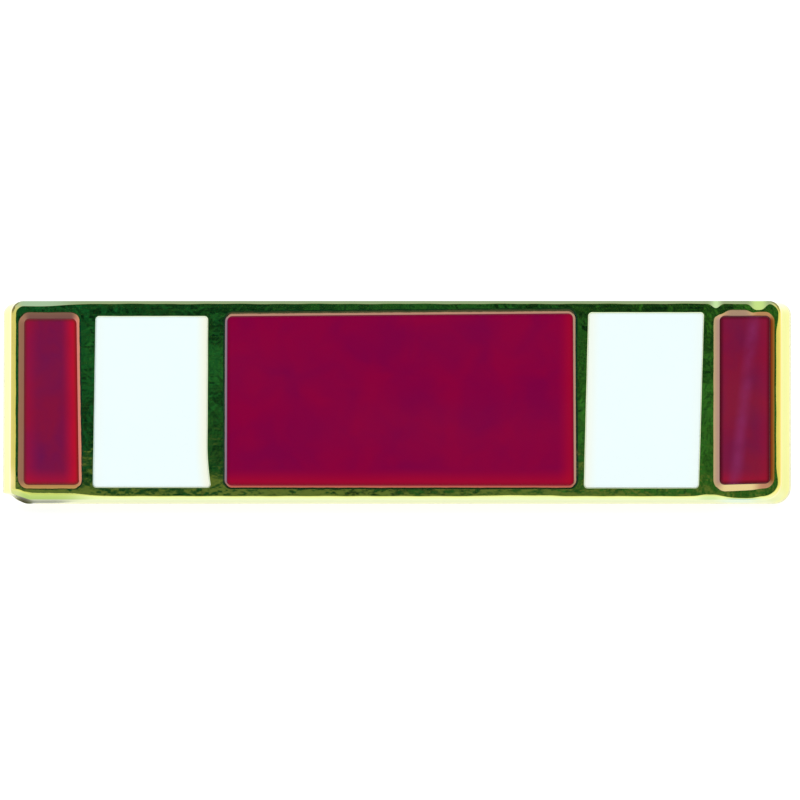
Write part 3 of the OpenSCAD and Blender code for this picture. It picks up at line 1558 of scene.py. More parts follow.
@dataclass
class EnamelFill:
    """The hard enamel in one cell: a block that follows the cell's leaning walls, with the
    plate's slight crown on its face and a soft shoulder where it meets the metal."""

    frame: PlateFrame
    cell: Cell
    crown: float
    face_height: float
    foot: float
    face: float
    wall_gap: float = 0.003
    shoulder_depth: float = 0.005
    shoulder_width: float = 0.07
    row_spacing: float = 0.1
    wall_rows: int = 17
    layers: int = 4
    crease: float = 35.0

    LENGTHS = (
        "Half Width",
        "Half Height",
        "Corner Radius",
        "Foot",
        "Face",
        "Left Foot",
        "Left Head",
        "Left Curl",
        "Right Foot",
        "Right Head",
        "Right Curl",
        "Curl Reach",
        "Foot Climb",
        "Head Climb",
        "Crown",
        "Crown Reach",
        "Shoulder Depth",
        "Shoulder Width",
    )
    INPUTS = {
        **dict.fromkeys(LENGTHS, "NodeSocketFloat"),
        "Centre": "NodeSocketVector",
        **dict.fromkeys(("Columns", "Rows", "Layers"), "NodeSocketInt"),
        "Material": "NodeSocketMaterial",
    }

    @classmethod
    def new_tree(cls) -> bpy.types.NodeTree:
        """Makes the Geometry Nodes tree that all the fills share.

        Returns:
            The tree. It draws a block with closely spaced points near its walls, rounds its
            upright corners, bends its walls, and gives its face the crown and the shoulder.
        """
        tree = new_geometry_tree("enamel_fill", cls.INPUTS)
        size = add_node(tree, "NodeGroupInput").outputs
        block = add_node(
            tree,
            "GeometryNodeMeshCube",
            {
                "Size": (2.0, 2.0, 2.0),
                "Vertices X": size["Columns"],
                "Vertices Y": size["Rows"],
                "Vertices Z": size["Layers"],
            },
        )
        place = add_node(tree, "GeometryNodeInputPosition")
        level = add_node(tree, "ShaderNodeSeparateXYZ", {0: place}).outputs["Z"]
        flat, reach, half = cls.add_rounding(tree, size, place)
        spot = add_node(tree, "ShaderNodeSeparateXYZ", {0: flat})
        room = add_node(tree, "ShaderNodeVectorMath", {0: half, 1: reach}, operation="SUBTRACT")
        room = add_node(tree, "ShaderNodeSeparateXYZ", {0: room})
        inset = add_node(
            tree,
            "ShaderNodeMath",
            {0: room.outputs["X"], 1: room.outputs["Y"]},
            operation="MINIMUM",
        )
        shift, lift = cls.add_bends(tree, size, spot)
        height = cls.add_height(tree, size, spot, level, inset)
        moves = [
            add_node(tree, "ShaderNodeMath", {0: spot.outputs[axis], 1: move}, operation="ADD")
            for axis, move in (("X", shift), ("Y", lift))
        ]
        bent = add_node(
            tree, "ShaderNodeCombineXYZ", {"X": moves[0], "Y": moves[1], "Z": height}
        )
        final = add_node(
            tree, "ShaderNodeVectorMath", {0: bent, 1: size["Centre"]}, operation="ADD"
        )
        geometry = block.outputs["Mesh"]
        lower_left = add_node(tree, "ShaderNodeVectorMath", {0: flat, 1: half}, operation="ADD")
        lower_left = add_node(tree, "ShaderNodeSeparateXYZ", {0: lower_left})
        upper_right = add_node(
            tree, "ShaderNodeVectorMath", {0: half, 1: flat}, operation="SUBTRACT"
        )
        lower_left = add_node(
            tree,
            "ShaderNodeCombineXYZ",
            {"X": lower_left.outputs["X"], "Y": lower_left.outputs["Y"], "Z": inset},
        )
        for name, value in ((FROM_LOWER_LEFT, lower_left), (FROM_UPPER_RIGHT, upper_right)):
            geometry = add_node(
                tree,
                "GeometryNodeStoreNamedAttribute",
                {"Geometry": geometry, "Name": name, "Value": value},
                data_type="FLOAT_VECTOR",
                domain="POINT",
            )
        moved = add_node(
            tree, "GeometryNodeSetPosition", {"Geometry": geometry, "Position": final}
        )
        whole = add_node(tree, "GeometryNodeRealizeInstances", {"Geometry": moved})
        coated = add_node(
            tree,
            "GeometryNodeSetMaterial",
            {"Geometry": whole, "Material": size["Material"]},
        )
        add_node(tree, "NodeGroupOutput", {"Geometry": coated})
        return tree

    @staticmethod
    def add_rounding(
        tree: bpy.types.NodeTree, size: bpy.types.NodeOutputs, place: bpy.types.Node
    ) -> tuple[bpy.types.Node, bpy.types.Node, bpy.types.Node]:
        """Adds the nodes that spread the block's grid towards its walls and round its corners.

        Args:
            tree: The tree.
            size: The tree's inputs.
            place: The position on a block from -1 to 1.

        Returns:
            The place in the plane, how far it was from the middle before its corners were
            rounded, and half the block's size.
        """
        quarter = add_node(
            tree,
            "ShaderNodeVectorMath",
            {0: place, 1: (math.pi / 2, math.pi / 2, 0.0)},
            operation="MULTIPLY",
        )
        eased = add_node(tree, "ShaderNodeVectorMath", {0: quarter}, operation="SINE")
        half = add_node(
            tree, "ShaderNodeCombineXYZ", {"X": size["Half Width"], "Y": size["Half Height"]}
        )
        spread = add_node(tree, "ShaderNodeVectorMath", {0: eased, 1: half}, operation="MULTIPLY")
        reach = add_node(tree, "ShaderNodeVectorMath", {0: spread}, operation="ABSOLUTE")
        radius = add_node(
            tree,
            "ShaderNodeCombineXYZ",
            {"X": size["Corner Radius"], "Y": size["Corner Radius"]},
        )
        inner = add_node(tree, "ShaderNodeVectorMath", {0: half, 1: radius}, operation="SUBTRACT")
        past = add_node(tree, "ShaderNodeVectorMath", {0: reach, 1: inner}, operation="SUBTRACT")
        past = add_node(tree, "ShaderNodeVectorMath", {0: past}, operation="MAXIMUM")
        sides = add_node(tree, "ShaderNodeSeparateXYZ", {0: past})
        longest = add_node(
            tree,
            "ShaderNodeMath",
            {0: sides.outputs["X"], 1: sides.outputs["Y"]},
            operation="MAXIMUM",
        )
        diagonal = add_node(tree, "ShaderNodeVectorMath", {0: past}, operation="LENGTH")
        diagonal = add_node(
            tree,
            "ShaderNodeMath",
            {0: diagonal.outputs["Value"], 1: TINY},
            operation="MAXIMUM",
        )
        ratio = add_node(tree, "ShaderNodeMath", {0: longest, 1: diagonal}, operation="DIVIDE")
        turned = add_node(
            tree, "ShaderNodeVectorMath", {0: past, "Scale": ratio}, operation="SCALE"
        )
        straight = add_node(
            tree, "ShaderNodeVectorMath", {0: reach, 1: inner}, operation="MINIMUM"
        )
        folded = add_node(
            tree, "ShaderNodeVectorMath", {0: straight, 1: turned}, operation="ADD"
        )
        sign = add_node(tree, "ShaderNodeVectorMath", {0: spread}, operation="SIGN")
        flat = add_node(tree, "ShaderNodeVectorMath", {0: folded, 1: sign}, operation="MULTIPLY")
        return flat, reach, half

    @staticmethod
    def add_bends(
        tree: bpy.types.NodeTree, size: bpy.types.NodeOutputs, spot: bpy.types.Node
    ) -> tuple[bpy.types.Node, bpy.types.Node]:
        """Adds the nodes that lean and curl the upright walls and let the foot and the head
        climb, as Cell.bent does.

        Args:
            tree: The tree.
            size: The tree's inputs.
            spot: The place in the plane, split into its parts.

        Returns:
            The shift to the right, and the lift.
        """
        shares = []
        for axis, half in (("X", "Half Width"), ("Y", "Half Height")):
            share = add_node(
                tree, "ShaderNodeMath", {0: spot.outputs[axis], 1: size[half]}, operation="DIVIDE"
            )
            shares.append(
                add_node(
                    tree,
                    "ShaderNodeMath",
                    {0: share, 1: 0.5, 2: 0.5},
                    operation="MULTIPLY_ADD",
                )
            )
        across, rise = shares
        reached = add_node(
            tree, "ShaderNodeMath", {0: rise, 1: size["Curl Reach"]}, operation="DIVIDE"
        )
        fading = add_node(
            tree, "ShaderNodeMath", {0: 1.0, 1: reached}, operation="SUBTRACT", use_clamp=True
        )
        curled = add_node(
            tree, "ShaderNodeMath", {0: fading, 1: fading}, operation="MULTIPLY"
        )
        walls = []
        for wall in ("Left", "Right"):
            lean = add_node(
                tree,
                "ShaderNodeMix",
                {0: rise, MIX_LOW: size[f"{wall} Foot"], MIX_HIGH: size[f"{wall} Head"]},
            )
            walls.append(
                add_node(
                    tree,
                    "ShaderNodeMath",
                    {0: curled, 1: size[f"{wall} Curl"], 2: lean},
                    operation="MULTIPLY_ADD",
                )
            )
        shift = add_node(
            tree, "ShaderNodeMix", {0: across, MIX_LOW: walls[0], MIX_HIGH: walls[1]}
        )
        climbs = [
            add_node(
                tree, "ShaderNodeMath", {0: across, 1: size[f"{end} Climb"]}, operation="MULTIPLY"
            )
            for end in ("Foot", "Head")
        ]
        lift = add_node(
            tree, "ShaderNodeMix", {0: rise, MIX_LOW: climbs[0], MIX_HIGH: climbs[1]}
        )
        return shift, lift

    @staticmethod
    def add_height(
        tree: bpy.types.NodeTree,
        size: bpy.types.NodeOutputs,
        spot: bpy.types.Node,
        level: bpy.types.NodeSocket,
        inset: bpy.types.Node,
    ) -> bpy.types.Node:
        """Adds the nodes that give the face its crown and its shoulder.

        Args:
            tree: The tree.
            size: The tree's inputs.
            spot: The place in the plane, split into its parts.
            level: From -1 at the foot of the block to 1 at its face.
            inset: How far in from the nearest wall the point is.

        Returns:
            The point's height.
        """
        middle = add_node(tree, "ShaderNodeSeparateXYZ", {0: size["Centre"]})
        up = add_node(
            tree,
            "ShaderNodeMath",
            {0: spot.outputs["Y"], 1: middle.outputs["Y"]},
            operation="ADD",
        )
        share = add_node(
            tree, "ShaderNodeMath", {0: up, 1: size["Crown Reach"]}, operation="DIVIDE"
        )
        square = add_node(tree, "ShaderNodeMath", {0: share, 1: share}, operation="MULTIPLY")
        crown = add_node(
            tree, "ShaderNodeMath", {0: square, 1: size["Crown"]}, operation="MULTIPLY"
        )
        step = add_node(
            tree, "ShaderNodeMath", {0: inset, 1: size["Shoulder Width"]}, operation="DIVIDE"
        )
        near = add_node(
            tree, "ShaderNodeMath", {0: 1.0, 1: step}, operation="SUBTRACT", use_clamp=True
        )
        near = add_node(tree, "ShaderNodeMath", {0: near, 1: near}, operation="MULTIPLY")
        fall = add_node(
            tree,
            "ShaderNodeMath",
            {0: near, 1: size["Shoulder Depth"], 2: crown},
            operation="MULTIPLY_ADD",
        )
        face = add_node(tree, "ShaderNodeMath", {0: size["Face"], 1: fall}, operation="SUBTRACT")
        part = add_node(
            tree, "ShaderNodeMath", {0: level, 1: 0.5, 2: 0.5}, operation="MULTIPLY_ADD"
        )
        return add_node(
            tree, "ShaderNodeMix", {0: part, MIX_LOW: size["Foot"], MIX_HIGH: face}
        )

    def build(self, tree: bpy.types.NodeTree, finish: bpy.types.Material) -> bpy.types.Object:
        """Builds the fill with the shared tree.

        Args:
            tree: The tree from new_tree.
            finish: The enamel.

        Returns:
            The object.
        """
        cell = self.cell
        plan = cell.plan
        width = cell.right - cell.left - 2 * self.wall_gap
        height = cell.head - cell.foot - 2 * self.wall_gap
        columns, rows = (
            2 * round(size / 2 / self.row_spacing) + self.wall_rows for size in (width, height)
        )
        mesh = run_geometry_tree(
            tree,
            plan.piece,
            bpy.data.meshes.new(plan.piece + "_start"),
            {
                "Half Width": width / 2,
                "Half Height": height / 2,
                "Centre": ((cell.left + cell.right) / 2, (cell.foot + cell.head) / 2, 0.0),
                "Corner Radius": plan.corner_radius - self.wall_gap,
                "Foot": self.foot,
                "Face": self.face,
                "Left Foot": plan.left_bend.foot,
                "Left Head": plan.left_bend.head,
                "Left Curl": plan.left_bend.curl,
                "Right Foot": plan.right_bend.foot,
                "Right Head": plan.right_bend.head,
                "Right Curl": plan.right_bend.curl,
                "Curl Reach": plan.right_bend.curl_reach,
                "Foot Climb": plan.foot_climb,
                "Head Climb": plan.head_climb,
                "Crown": self.crown,
                "Crown Reach": self.face_height / 2,
                "Shoulder Depth": self.shoulder_depth,
                "Shoulder Width": self.shoulder_width,
                "Columns": columns,
                "Rows": rows,
                "Layers": self.layers,
                "Material": finish,
            },
        )
        mesh.transform(self.frame.matrix())
        shade_smooth(mesh, self.crease)
        return new_object(plan.piece, mesh)


@dataclass
class ClutchPosts:
    """The two clutch posts: turned wire with a blunt point, each in a collar of solder. The
    shank's rows and the shoulder's roundings give the profile its points, from the collar
    to the point."""

    frame: PlateFrame
    pitch: float
    radius: float
    length: float
    point: float = 1.7
    tip_radius: float = 0.12
    tip_flat: float = 0.06
    solder: float = 0.35
    sunk: float = 0.05
    facets: int = 48
    fillet_steps: int = 9
    tip_steps: int = 8
    shank_rows: tuple[float, ...] = (0.25, 0.5, 0.75, 0.97, 0.99)
    shoulder_rounding: tuple[tuple[float, float], ...] = ((0.03, 0.004), (0.1, 0.024))
    solder_relief: float = 0.05
    lumps_per_mm: float = 1.4
    count: int = 2
    weld: float = 1e-7
    crease: float = 40.0

    GIRTH = "girth"

    def profile(self) -> list[tuple[float, float]]:
        """Draws the post's profile, from its sunk end to its tip.

        Returns:
            Heights above the back of the plate, each with the radius there.
        """
        rows = [(self.sunk, self.radius + self.solder)]
        for step in range(self.fillet_steps + 1):
            turn = math.pi / 2 * step / self.fillet_steps
            height = -self.solder * (1 - math.cos(turn))
            rows.append((height, self.radius + self.solder * (1 - math.sin(turn))))
        shoulder = self.point - self.length
        rows += [(shoulder * share, self.radius) for share in self.shank_rows]
        rows += [(shoulder - down, self.radius - cut) for down, cut in self.shoulder_rounding]
        reach = self.length - self.tip_radius
        slope = math.atan((self.radius - self.tip_radius) / (self.point - self.tip_radius))
        for step in range(self.tip_steps + 1):
            turn = slope + (math.pi / 2 - self.tip_flat - slope) * step / self.tip_steps
            height = -reach - self.tip_radius * math.sin(turn)
            rows.append((height, self.tip_radius * math.cos(turn)))
        return rows

    def new_tree(self) -> bpy.types.NodeTree:
        """Makes the Geometry Nodes tree that sweeps a post and sets it out along the bar.

        Returns:
            The tree. It sweeps a ring along the spine that it is given, lets the solder bulge
            unevenly, and repeats the post at the pitch.
        """
        tree = new_geometry_tree(
            "clutch_posts",
            {
                "Pitch": "NodeSocketFloat",
                "Count": "NodeSocketInt",
                "Facets": "NodeSocketInt",
                "Solder Reach": "NodeSocketFloat",
                "Solder Relief": "NodeSocketFloat",
                "Material": "NodeSocketMaterial",
            },
        )
        size = add_node(tree, "NodeGroupInput").outputs
        spine = add_node(tree, "GeometryNodeMeshToCurve", {"Mesh": size["Geometry"]})
        ring = add_node(
            tree,
            "GeometryNodeCurvePrimitiveCircle",
            {"Resolution": size["Facets"], "Radius": 1.0},
        )
        girth = add_node(tree, "GeometryNodeInputNamedAttribute", {"Name": self.GIRTH})
        swept = add_node(
            tree,
            "GeometryNodeCurveToMesh",
            {"Curve": spine, "Profile Curve": ring, "Scale": girth, "Fill Caps": True},
        )
        place = add_node(tree, "GeometryNodeInputPosition")
        height = add_node(tree, "ShaderNodeSeparateXYZ", {0: place}).outputs["Z"]
        low = add_node(
            tree, "ShaderNodeMath", {0: size["Solder Reach"], 1: -1.0}, operation="MULTIPLY"
        )
        share = add_node(
            tree,
            "ShaderNodeMapRange",
            {"Value": height, "From Min": low, "From Max": 0.0},
            interpolation_type="SMOOTHSTEP",
        )
        lumps = add_node(
            tree,
            "ShaderNodeTexNoise",
            {"Vector": place, "Scale": self.lumps_per_mm, "Detail": 1.0},
        )
        lumps = add_node(tree, "ShaderNodeMath", {0: lumps, 1: 0.5}, operation="SUBTRACT")
        amount = add_node(tree, "ShaderNodeMath", {0: lumps, 1: share}, operation="MULTIPLY")
        amount = add_node(
            tree, "ShaderNodeMath", {0: amount, 1: size["Solder Relief"]}, operation="MULTIPLY"
        )
        sideways = add_node(
            tree,
            "ShaderNodeVectorMath",
            {0: place, 1: (1.0, 1.0, 0.0)},
            operation="MULTIPLY",
        )
        offset = add_node(
            tree, "ShaderNodeVectorMath", {0: sideways, "Scale": amount}, operation="SCALE"
        )
        lumpy = add_node(
            tree, "GeometryNodeSetPosition", {"Geometry": swept, "Offset": offset}
        )
        first = add_node(
            tree, "ShaderNodeMath", {0: size["Pitch"], 1: -0.5}, operation="MULTIPLY"
        )
        places = add_node(
            tree,
            "GeometryNodeMeshLine",
            {
                "Count": size["Count"],
                "Start Location": add_node(tree, "ShaderNodeCombineXYZ", {"X": first}),
                "Offset": add_node(tree, "ShaderNodeCombineXYZ", {"X": size["Pitch"]}),
            },
        )
        posts = add_node(
            tree, "GeometryNodeInstanceOnPoints", {"Points": places, "Instance": lumpy}
        )
        whole = add_node(tree, "GeometryNodeRealizeInstances", {"Geometry": posts})
        coated = add_node(
            tree,
            "GeometryNodeSetMaterial",
            {"Geometry": whole, "Material": size["Material"]},
        )
        add_node(tree, "NodeGroupOutput", {"Geometry": coated})
        return tree

    def build(self, finish: bpy.types.Material) -> bpy.types.Object:
        """Builds both posts as one object.

        Args:
            finish: The plating.

        Returns:
            The object.
        """
        rows = self.profile()
        spine = bpy.data.meshes.new("post_spine")
        points = [(0.0, 0.0, height) for height, _ in rows]
        spine.from_pydata(points, [(i, i + 1) for i in range(len(rows) - 1)], [])
        girth = spine.attributes.new(self.GIRTH, "FLOAT", "POINT")
        girth.data.foreach_set("value", [radius for _, radius in rows])
        mesh = run_geometry_tree(
            self.new_tree(),
            "clutch_posts",
            spine,
            {
                "Pitch": self.pitch,
                "Count": self.count,
                "Facets": self.facets,
                "Solder Reach": self.solder,
                "Solder Relief": self.solder_relief,
                "Material": finish,
            },
        )
        mesh.transform(self.frame.matrix())
        turn_outwards(mesh, self.weld)
        shade_smooth(mesh, self.crease)
        return new_object("clutch_posts", mesh)


@dataclass(frozen=True)
class Card:
    """A card that only reflections see, in millimetres. It faces the pin, from the direction
    that its angles give."""

    name: str
    azimuth: float
    elevation: float
    distance: float
    half_width: float
    above: float
    below: float
    shade: str = "#808080"

    def material(self) -> bpy.types.Material:
        """Makes the card's material, an even glow of its shade.

        Returns:
            The material.
        """
        material, tree = new_material(self.name)
        glow = add_node(tree, "ShaderNodeEmission", {"Color": linear_colour(self.shade)})
        add_node(tree, "ShaderNodeOutputMaterial", {"Surface": glow})
        return material

    def build(self, centre: Vector) -> None:
        """Sets the card up.

        Args:
            centre: What the card faces, in metres.
        """
        board = new_board(
            self.name, self.half_width, self.below, self.above, self.material()
        )
        set_up_facing(board, centre, self.azimuth, self.elevation, self.distance)
        for rays in ("camera", "diffuse", "transmission", "volume_scatter", "shadow"):
            setattr(board, f"visible_{rays}", False)


@dataclass(frozen=True)
class GreenCard(Card):
    """The dark green card that the flat metal mirrors. It is mottled, warmer towards the
    right, and a lighter olive along its foot, apart from the right end. The spans are where
    each change starts and is complete, from the card's middle."""

    dark: str = "#021B26"
    green: str = "#186A72"
    warm: str = "#3E8060"
    olive: str = "#6A7E78"
    cloud: float = 9.0
    cloud_low: float = 0.4
    cloud_high: float = 0.64
    warm_span: tuple[float, float] = (-18.0, 18.0)
    olive_span: tuple[float, float] = (-12.2, -13.8)
    olive_share: float = 0.9
    end_span: tuple[float, float] = (14.2, 15.6)

    def material(self) -> bpy.types.Material:
        """Makes the card's material, which reads the card's own coordinates in metres.

        Returns:
            The material.
        """
        material, tree = new_material(self.name)
        place = add_node(tree, "ShaderNodeTexCoord").outputs["Object"]
        clouds = add_node(
            tree,
            "ShaderNodeTexNoise",
            {"Vector": place, "Scale": 1 / (self.cloud * MM), "Detail": 3.0},
        )
        contrast = add_node(
            tree,
            "ShaderNodeMapRange",
            {"Value": clouds, "From Min": self.cloud_low, "From Max": self.cloud_high},
        )
        spot = add_node(tree, "ShaderNodeSeparateXYZ", {0: place}).outputs
        across = add_node(
            tree,
            "ShaderNodeMapRange",
            {
                "Value": spot["X"],
                "From Min": self.warm_span[0] * MM,
                "From Max": self.warm_span[1] * MM,
            },
        )
        bright = add_node(
            tree,
            "ShaderNodeMix",
            {0: across, MIX_A: linear_colour(self.green), MIX_B: linear_colour(self.warm)},
            data_type="RGBA",
        ).outputs[MIX_COLOUR]
        tone = add_node(
            tree,
            "ShaderNodeMix",
            {0: contrast, MIX_A: linear_colour(self.dark), MIX_B: bright},
            data_type="RGBA",
        ).outputs[MIX_COLOUR]
        end = add_node(
            tree,
            "ShaderNodeMapRange",
            {
                "Value": spot["X"],
                "From Min": self.end_span[0] * MM,
                "From Max": self.end_span[1] * MM,
                "To Min": 1.0,
                "To Max": 0.0,
            },
        )
        low = add_node(
            tree,
            "ShaderNodeMapRange",
            {
                "Value": spot["Y"],
                "From Min": self.olive_span[1] * MM,
                "From Max": self.olive_span[0] * MM,
                "To Min": self.olive_share,
                "To Max": 0.0,
            },
            interpolation_type="SMOOTHSTEP",
        )
        low = add_node(tree, "ShaderNodeMath", {0: low, 1: end}, operation="MULTIPLY")
        graded = add_node(
            tree,
            "ShaderNodeMix",
            {0: low, MIX_A: tone, MIX_B: linear_colour(self.olive)},
            data_type="RGBA",
        )
        glow = add_node(tree, "ShaderNodeEmission", {"Color": graded.outputs[MIX_COLOUR]})
        add_node(tree, "ShaderNodeOutputMaterial", {"Surface": glow})
        return material


@dataclass
class Studio:
    """The floor, the tent, the cards, the lamp and the camera. Distances are millimetres and
    angles degrees."""

    face_centre: Vector
    camera_azimuth: float = 1.8
    camera_elevation: float = 17.3
    camera_distance: float = 600.0
    camera_reach: tuple[float, float] = (10.0, 10000.0)
    pixels_per_mm: float = 31.1
    face_pixel: tuple[float, float] = (395.5, 400.0)
    sensor: float = 36.0
    floor_half: float = 1500.0
    floor_colour: str = "#FEFEFE"
    floor_glow: float = 0.9
    floor_share: float = 0.3
    horizon: float = 1.12
    horizon_height: float = 0.45
    tent: float = 0.86
    lamp_azimuth: float = -42.0
    lamp_elevation: float = 58.0
    lamp_distance: float = 350.0
    lamp_size: float = 120.0
    lamp_watts: float = 0.12
    cards: tuple[Card, ...] = (
        GreenCard("green_card", -1.8, 25.9, 250.0, 62.0, 44.0, 58.0),
        Card("ceiling_card", 180.0, 62.0, 300.0, 420.0, 270.0, 270.0, "#B0AEA2"),
        Card("left_card", -80.0, 33.0, 400.0, 150.0, 110.0, 110.0, "#94948A"),
        Card("right_card", 84.0, 35.0, 400.0, 130.0, 120.0, 110.0, "#8A8A80"),
    )

    def build(self) -> None:
        """Builds the whole studio."""
        self.add_camera()
        self.add_floor()
        self.add_sky()
        for card in self.cards:
            card.build(self.face_centre)
        self.add_key_light()

    def add_camera(self) -> None:
        """Puts the camera at the photograph's angle, level with the bar, with the face where
        the photograph has it."""
        data = bpy.data.cameras.new("photo_camera")
        camera = new_object("photo_camera", data)
        bpy.context.scene.camera = camera
        distance = self.camera_distance * MM
        data.sensor_width = self.sensor
        data.lens = self.sensor * self.camera_distance * self.pixels_per_mm / PICTURE
        data.clip_start, data.clip_end = (reach * MM for reach in self.camera_reach)
        back = direction_towards(self.camera_azimuth, self.camera_elevation)
        bar = Vector((1.0, 0.0, 0.0))
        right = (bar - back * bar.dot(back)).normalized()
        up = back.cross(right)
        step = MM / self.pixels_per_mm
        middle = PICTURE / 2
        aim = self.face_centre
        aim = aim + right * (middle - self.face_pixel[0]) * step
        aim = aim + up * (self.face_pixel[1] - middle) * step
        camera.rotation_mode = "QUATERNION"
        camera.rotation_quaternion = Matrix((right, up, back)).transposed().to_quaternion()
        camera.location = aim + back * distance

    def add_floor(self) -> None:
        """Adds a pale floor that is lit from within, so that the pin's shadow stays faint."""
        material, tree = new_material("lit_white_floor")
        surface = add_node(
            tree,
            "ShaderNodeBsdfPrincipled",
            {
                "Base Color": linear_colour(self.floor_colour, self.floor_share),
                "Roughness": 1.0,
                "Specular IOR Level": 0.0,
                "Emission Color": linear_colour(self.floor_colour),
                "Emission Strength": self.floor_glow,
            },
        )
        add_node(tree, "ShaderNodeOutputMaterial", {"Surface": surface})
        half = self.floor_half
        new_board("studio_floor", half, half, half, material)

    def add_sky(self) -> None:
        """Adds a white tent of light, brightest along the horizon."""
        world = bpy.data.worlds.new("white_tent")
        world.use_nodes = True
        tree = world.node_tree
        tree.nodes.clear()
        direction = add_node(tree, "ShaderNodeTexCoord").outputs["Generated"]
        height = add_node(tree, "ShaderNodeSeparateXYZ", {0: direction}).outputs["Z"]
        strength = add_node(
            tree,
            "ShaderNodeMapRange",
            {
                "Value": height,
                "From Min": 0.0,
                "From Max": self.horizon_height,
                "To Min": self.horizon,
                "To Max": self.tent,
            },
        )
        light = add_node(
            tree,
            "ShaderNodeBackground",
            {"Color": linear_colour(self.floor_colour), "Strength": strength},
        )
        add_node(tree, "ShaderNodeOutputWorld", {"Surface": light})
        bpy.context.scene.world = world
        bpy.context.scene.view_settings.view_transform = "Standard"

    def add_key_light(self) -> None:
        """Adds one large soft lamp from the upper left."""
        data = bpy.data.lights.new("key_softbox", "AREA")
        data.shape = "SQUARE"
        data.size = self.lamp_size * MM
        data.energy = self.lamp_watts
        lamp = new_object("key_softbox", data)
        angles = (self.lamp_azimuth, self.lamp_elevation)
        set_up_facing(lamp, self.face_centre, *angles, self.lamp_distance)
        lamp.visible_glossy = False
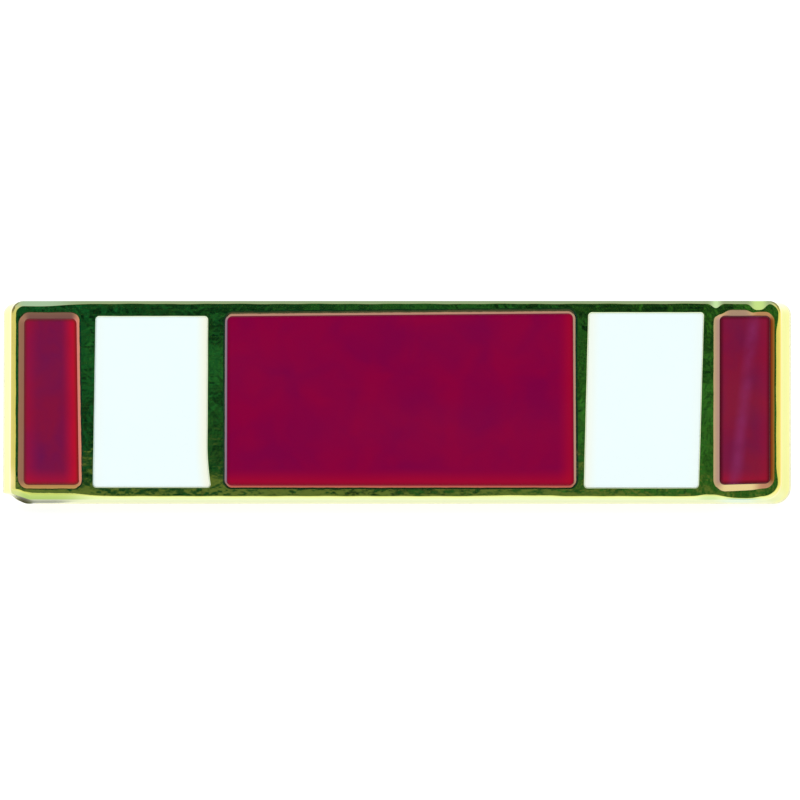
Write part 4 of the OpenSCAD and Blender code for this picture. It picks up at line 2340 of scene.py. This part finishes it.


# The cells' edge tints are painted highlight and reflection colours on their rounded edges,
# pinker and browner where they paint the crimson enamel's reflection. The cream tint at the right
# crimson fill's foot is a painted highlight, and its streak a painted reflection.
CELL_PLANS = (
    CellPlan(
        "enamel_crimson_left",
        "crimson_enamel_left",
        Slot.CRIMSON,
        CrimsonEnamel(
            "crimson_enamel_glass_left",
            wine="#801039",
            purple="#6A1048",
            hot="#B80E2A",
            brink="#58200E",
            brink_share=0.65,
            purple_share=0.5,
            right_glow=1.0,
        ),
        corner_radius=0.16,
        left_bend=WallBend(foot=0.03, head=0.03),
        right_bend=WallBend(foot=0.055, head=-0.045),
        head_shift=-0.12,
        foot_shift=0.045,
        edge_tint="#B98272",
        wear_and_light=(
            EdgeWearAndLight(Side.HEAD, width=0.1, facet=1.0, edge_tint="#704C46"),
            EdgeWearAndLight(Side.LEFT, width=0.08, facet=1.0, edge_tint="#9C6E58"),
            EdgeWearAndLight(Side.RIGHT, width=0.03, edge_tint="#E4807A"),
            EdgeWearAndLight(Side.FOOT, width=0.04, facet=0.4, edge_tint="#C28E5A"),
        ),
    ),
    CellPlan(
        "enamel_white_left",
        "white_enamel_left",
        Slot.WHITE,
        WhiteEnamel("white_enamel_glass_left", right_cream=0.8),
        corner_radius=0.09,
        left_bend=WallBend(foot=-0.025, head=0.045),
        right_bend=WallBend(foot=0.0, head=0.01, curl=0.12),
        head_shift=-0.07,
        foot_shift=-0.028,
        edge_width=0.035,
        edge_tint="#E2F2E6",
        wear_and_light=(EdgeWearAndLight(Side.LEFT, edge_tint="#D0E6E8"),),
    ),
    CellPlan(
        "enamel_crimson_centre",
        "crimson_enamel_centre",
        Slot.CRIMSON,
        CrimsonEnamel(
            "crimson_enamel_glass_centre",
            wine="#860038",
            purple="#740040",
            brink_share=0.35,
            left_glow=0.0,
            foot_glow=0.65,
            specular=0.15,
        ),
        corner_radius=0.16,
        left_bend=WallBend(foot=0.04, head=0.04),
        right_bend=WallBend(foot=0.03, head=-0.01),
        head_shift=-0.045,
        foot_shift=0.03,
        head_climb=0.09,
        edge_tint="#A87A6C",
        wear_and_light=(
            EdgeWearAndLight(Side.LEFT, width=0.02, edge_tint="#90708E"),
            EdgeWearAndLight(Side.RIGHT, width=0.03, edge_tint="#B8907E"),
            EdgeWearAndLight(Side.FOOT, width=0.02, edge_tint="#C8505A"),
            EdgeWearAndLight(Side.HEAD, width=0.065, edge_tint="#AA7A6C"),
        ),
    ),
    CellPlan(
        "enamel_white_right",
        "white_enamel_right",
        Slot.WHITE,
        WhiteEnamel("white_enamel_glass_right", left_cream=0.5),
        corner_radius=0.09,
        left_bend=WallBend(foot=-0.07, head=0.065),
        right_bend=WallBend(foot=-0.01, head=0.15),
        head_shift=0.05,
        foot_shift=-0.045,
        edge_width=0.035,
        edge_tint="#E2F2E0",
    ),
    CellPlan(
        "enamel_crimson_right",
        "crimson_enamel_right",
        Slot.CRIMSON,
        CrimsonEnamel(
            "crimson_enamel_glass_right",
            wine="#801034",
            purple="#70103E",
            purple_share=0.6,
            left_glow=0.1,
            right_glow=0.3,
            streak=0.65,
            brink="#44030E",
            brink_share=0.9,
            brink_reach=0.16,
            specular=0.45,
        ),
        corner_radius=0.16,
        left_bend=WallBend(foot=0.035, head=0.035),
        right_bend=WallBend(foot=0.1, head=0.1),
        head_shift=-0.03,
        foot_shift=0.04,
        foot_climb=0.05,
        edge_width=0.04,
        edge_tint="#C38973",
        wear_and_light=(
            EdgeWearAndLight(
                Side.FOOT, 11.2, 0.9, 0.165, taper=0.03, facet=1.0, ends=12.0, edge_tint="#FAE2A0"
            ),
            EdgeWearAndLight(Side.FOOT, 11.85, 0.35, -0.03, edge_tint="#C88C6C"),
            EdgeWearAndLight(Side.LEFT, width=0.16, facet=0.8, edge_tint="#BC9488", thinning=0.2),
            EdgeWearAndLight(Side.HEAD, 10.95, 0.42, 0.15, facet=1.0, ends=8.0, edge_tint="#9C806A"),
            EdgeWearAndLight(Side.HEAD, 11.67, 0.25, 0.08, facet=1.0, ends=8.0, edge_tint="#A87A52"),
            EdgeWearAndLight(Side.RIGHT, width=0.09, facet=1.0, edge_tint="#86300F", thinning=0.15),
        ),
    ),
)


def main() -> None:
    """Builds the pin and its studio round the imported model."""
    logging.basicConfig(level=logging.INFO, format="%(name)s: %(message)s")
    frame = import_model()
    record, nodes = frame["record"], frame["nodes"]
    plate_frame = PlateFrame.from_record(record)
    measured = {plan.node: plate_frame.measure(nodes[plan.node]) for plan in CELL_PLANS}
    cells = [Cell.from_node(plan, measured[plan.node]) for plan in CELL_PLANS]
    enamel_low = float(measured[CELL_PLANS[0].node][:, 2].min())
    enamel_high = float(measured[CELL_PLANS[0].node][:, 2].max())
    solid = plate_frame.measure(nodes["base_plate"])

    polished = PolishedGoldPlating().material()
    plate = StruckPlate.from_node(plate_frame, cells, solid, enamel_low - FILL_GAP)
    dress(plate.build(polished, SatinGoldBack().material()), Slot.GOLD, "base_plate")

    left, right = (
        next(m for m in record["mounts"] if m["name"] == name)
        for name in ("left_post", "right_post")
    )
    posts = ClutchPosts(
        plate_frame,
        pitch=(right["pos_m"][0] - left["pos_m"][0]) / MM,
        radius=left["dims"]["r_mm"],
        length=-float(solid[:, 2].min()),
    )
    drawn = PolishedGoldPlating("polished_post_plating", edge_tinted=False)
    dress(posts.build(drawn.material()), Slot.GOLD, "base_plate")

    tree = EnamelFill.new_tree()
    for cell in cells:
        fill = EnamelFill(
            plate_frame,
            cell,
            crown=plate.crown,
            face_height=plate.face_height,
            foot=enamel_low,
            face=enamel_high,
        )
        dress(fill.build(tree, cell.plan.finish.material()), cell.plan.slot, cell.plan.node)

    face_centre = plate_frame.matrix() @ Vector((0.0, 0.0, plate.thickness))
    Studio(face_centre).build()


if __name__ == "__main__":
    main()
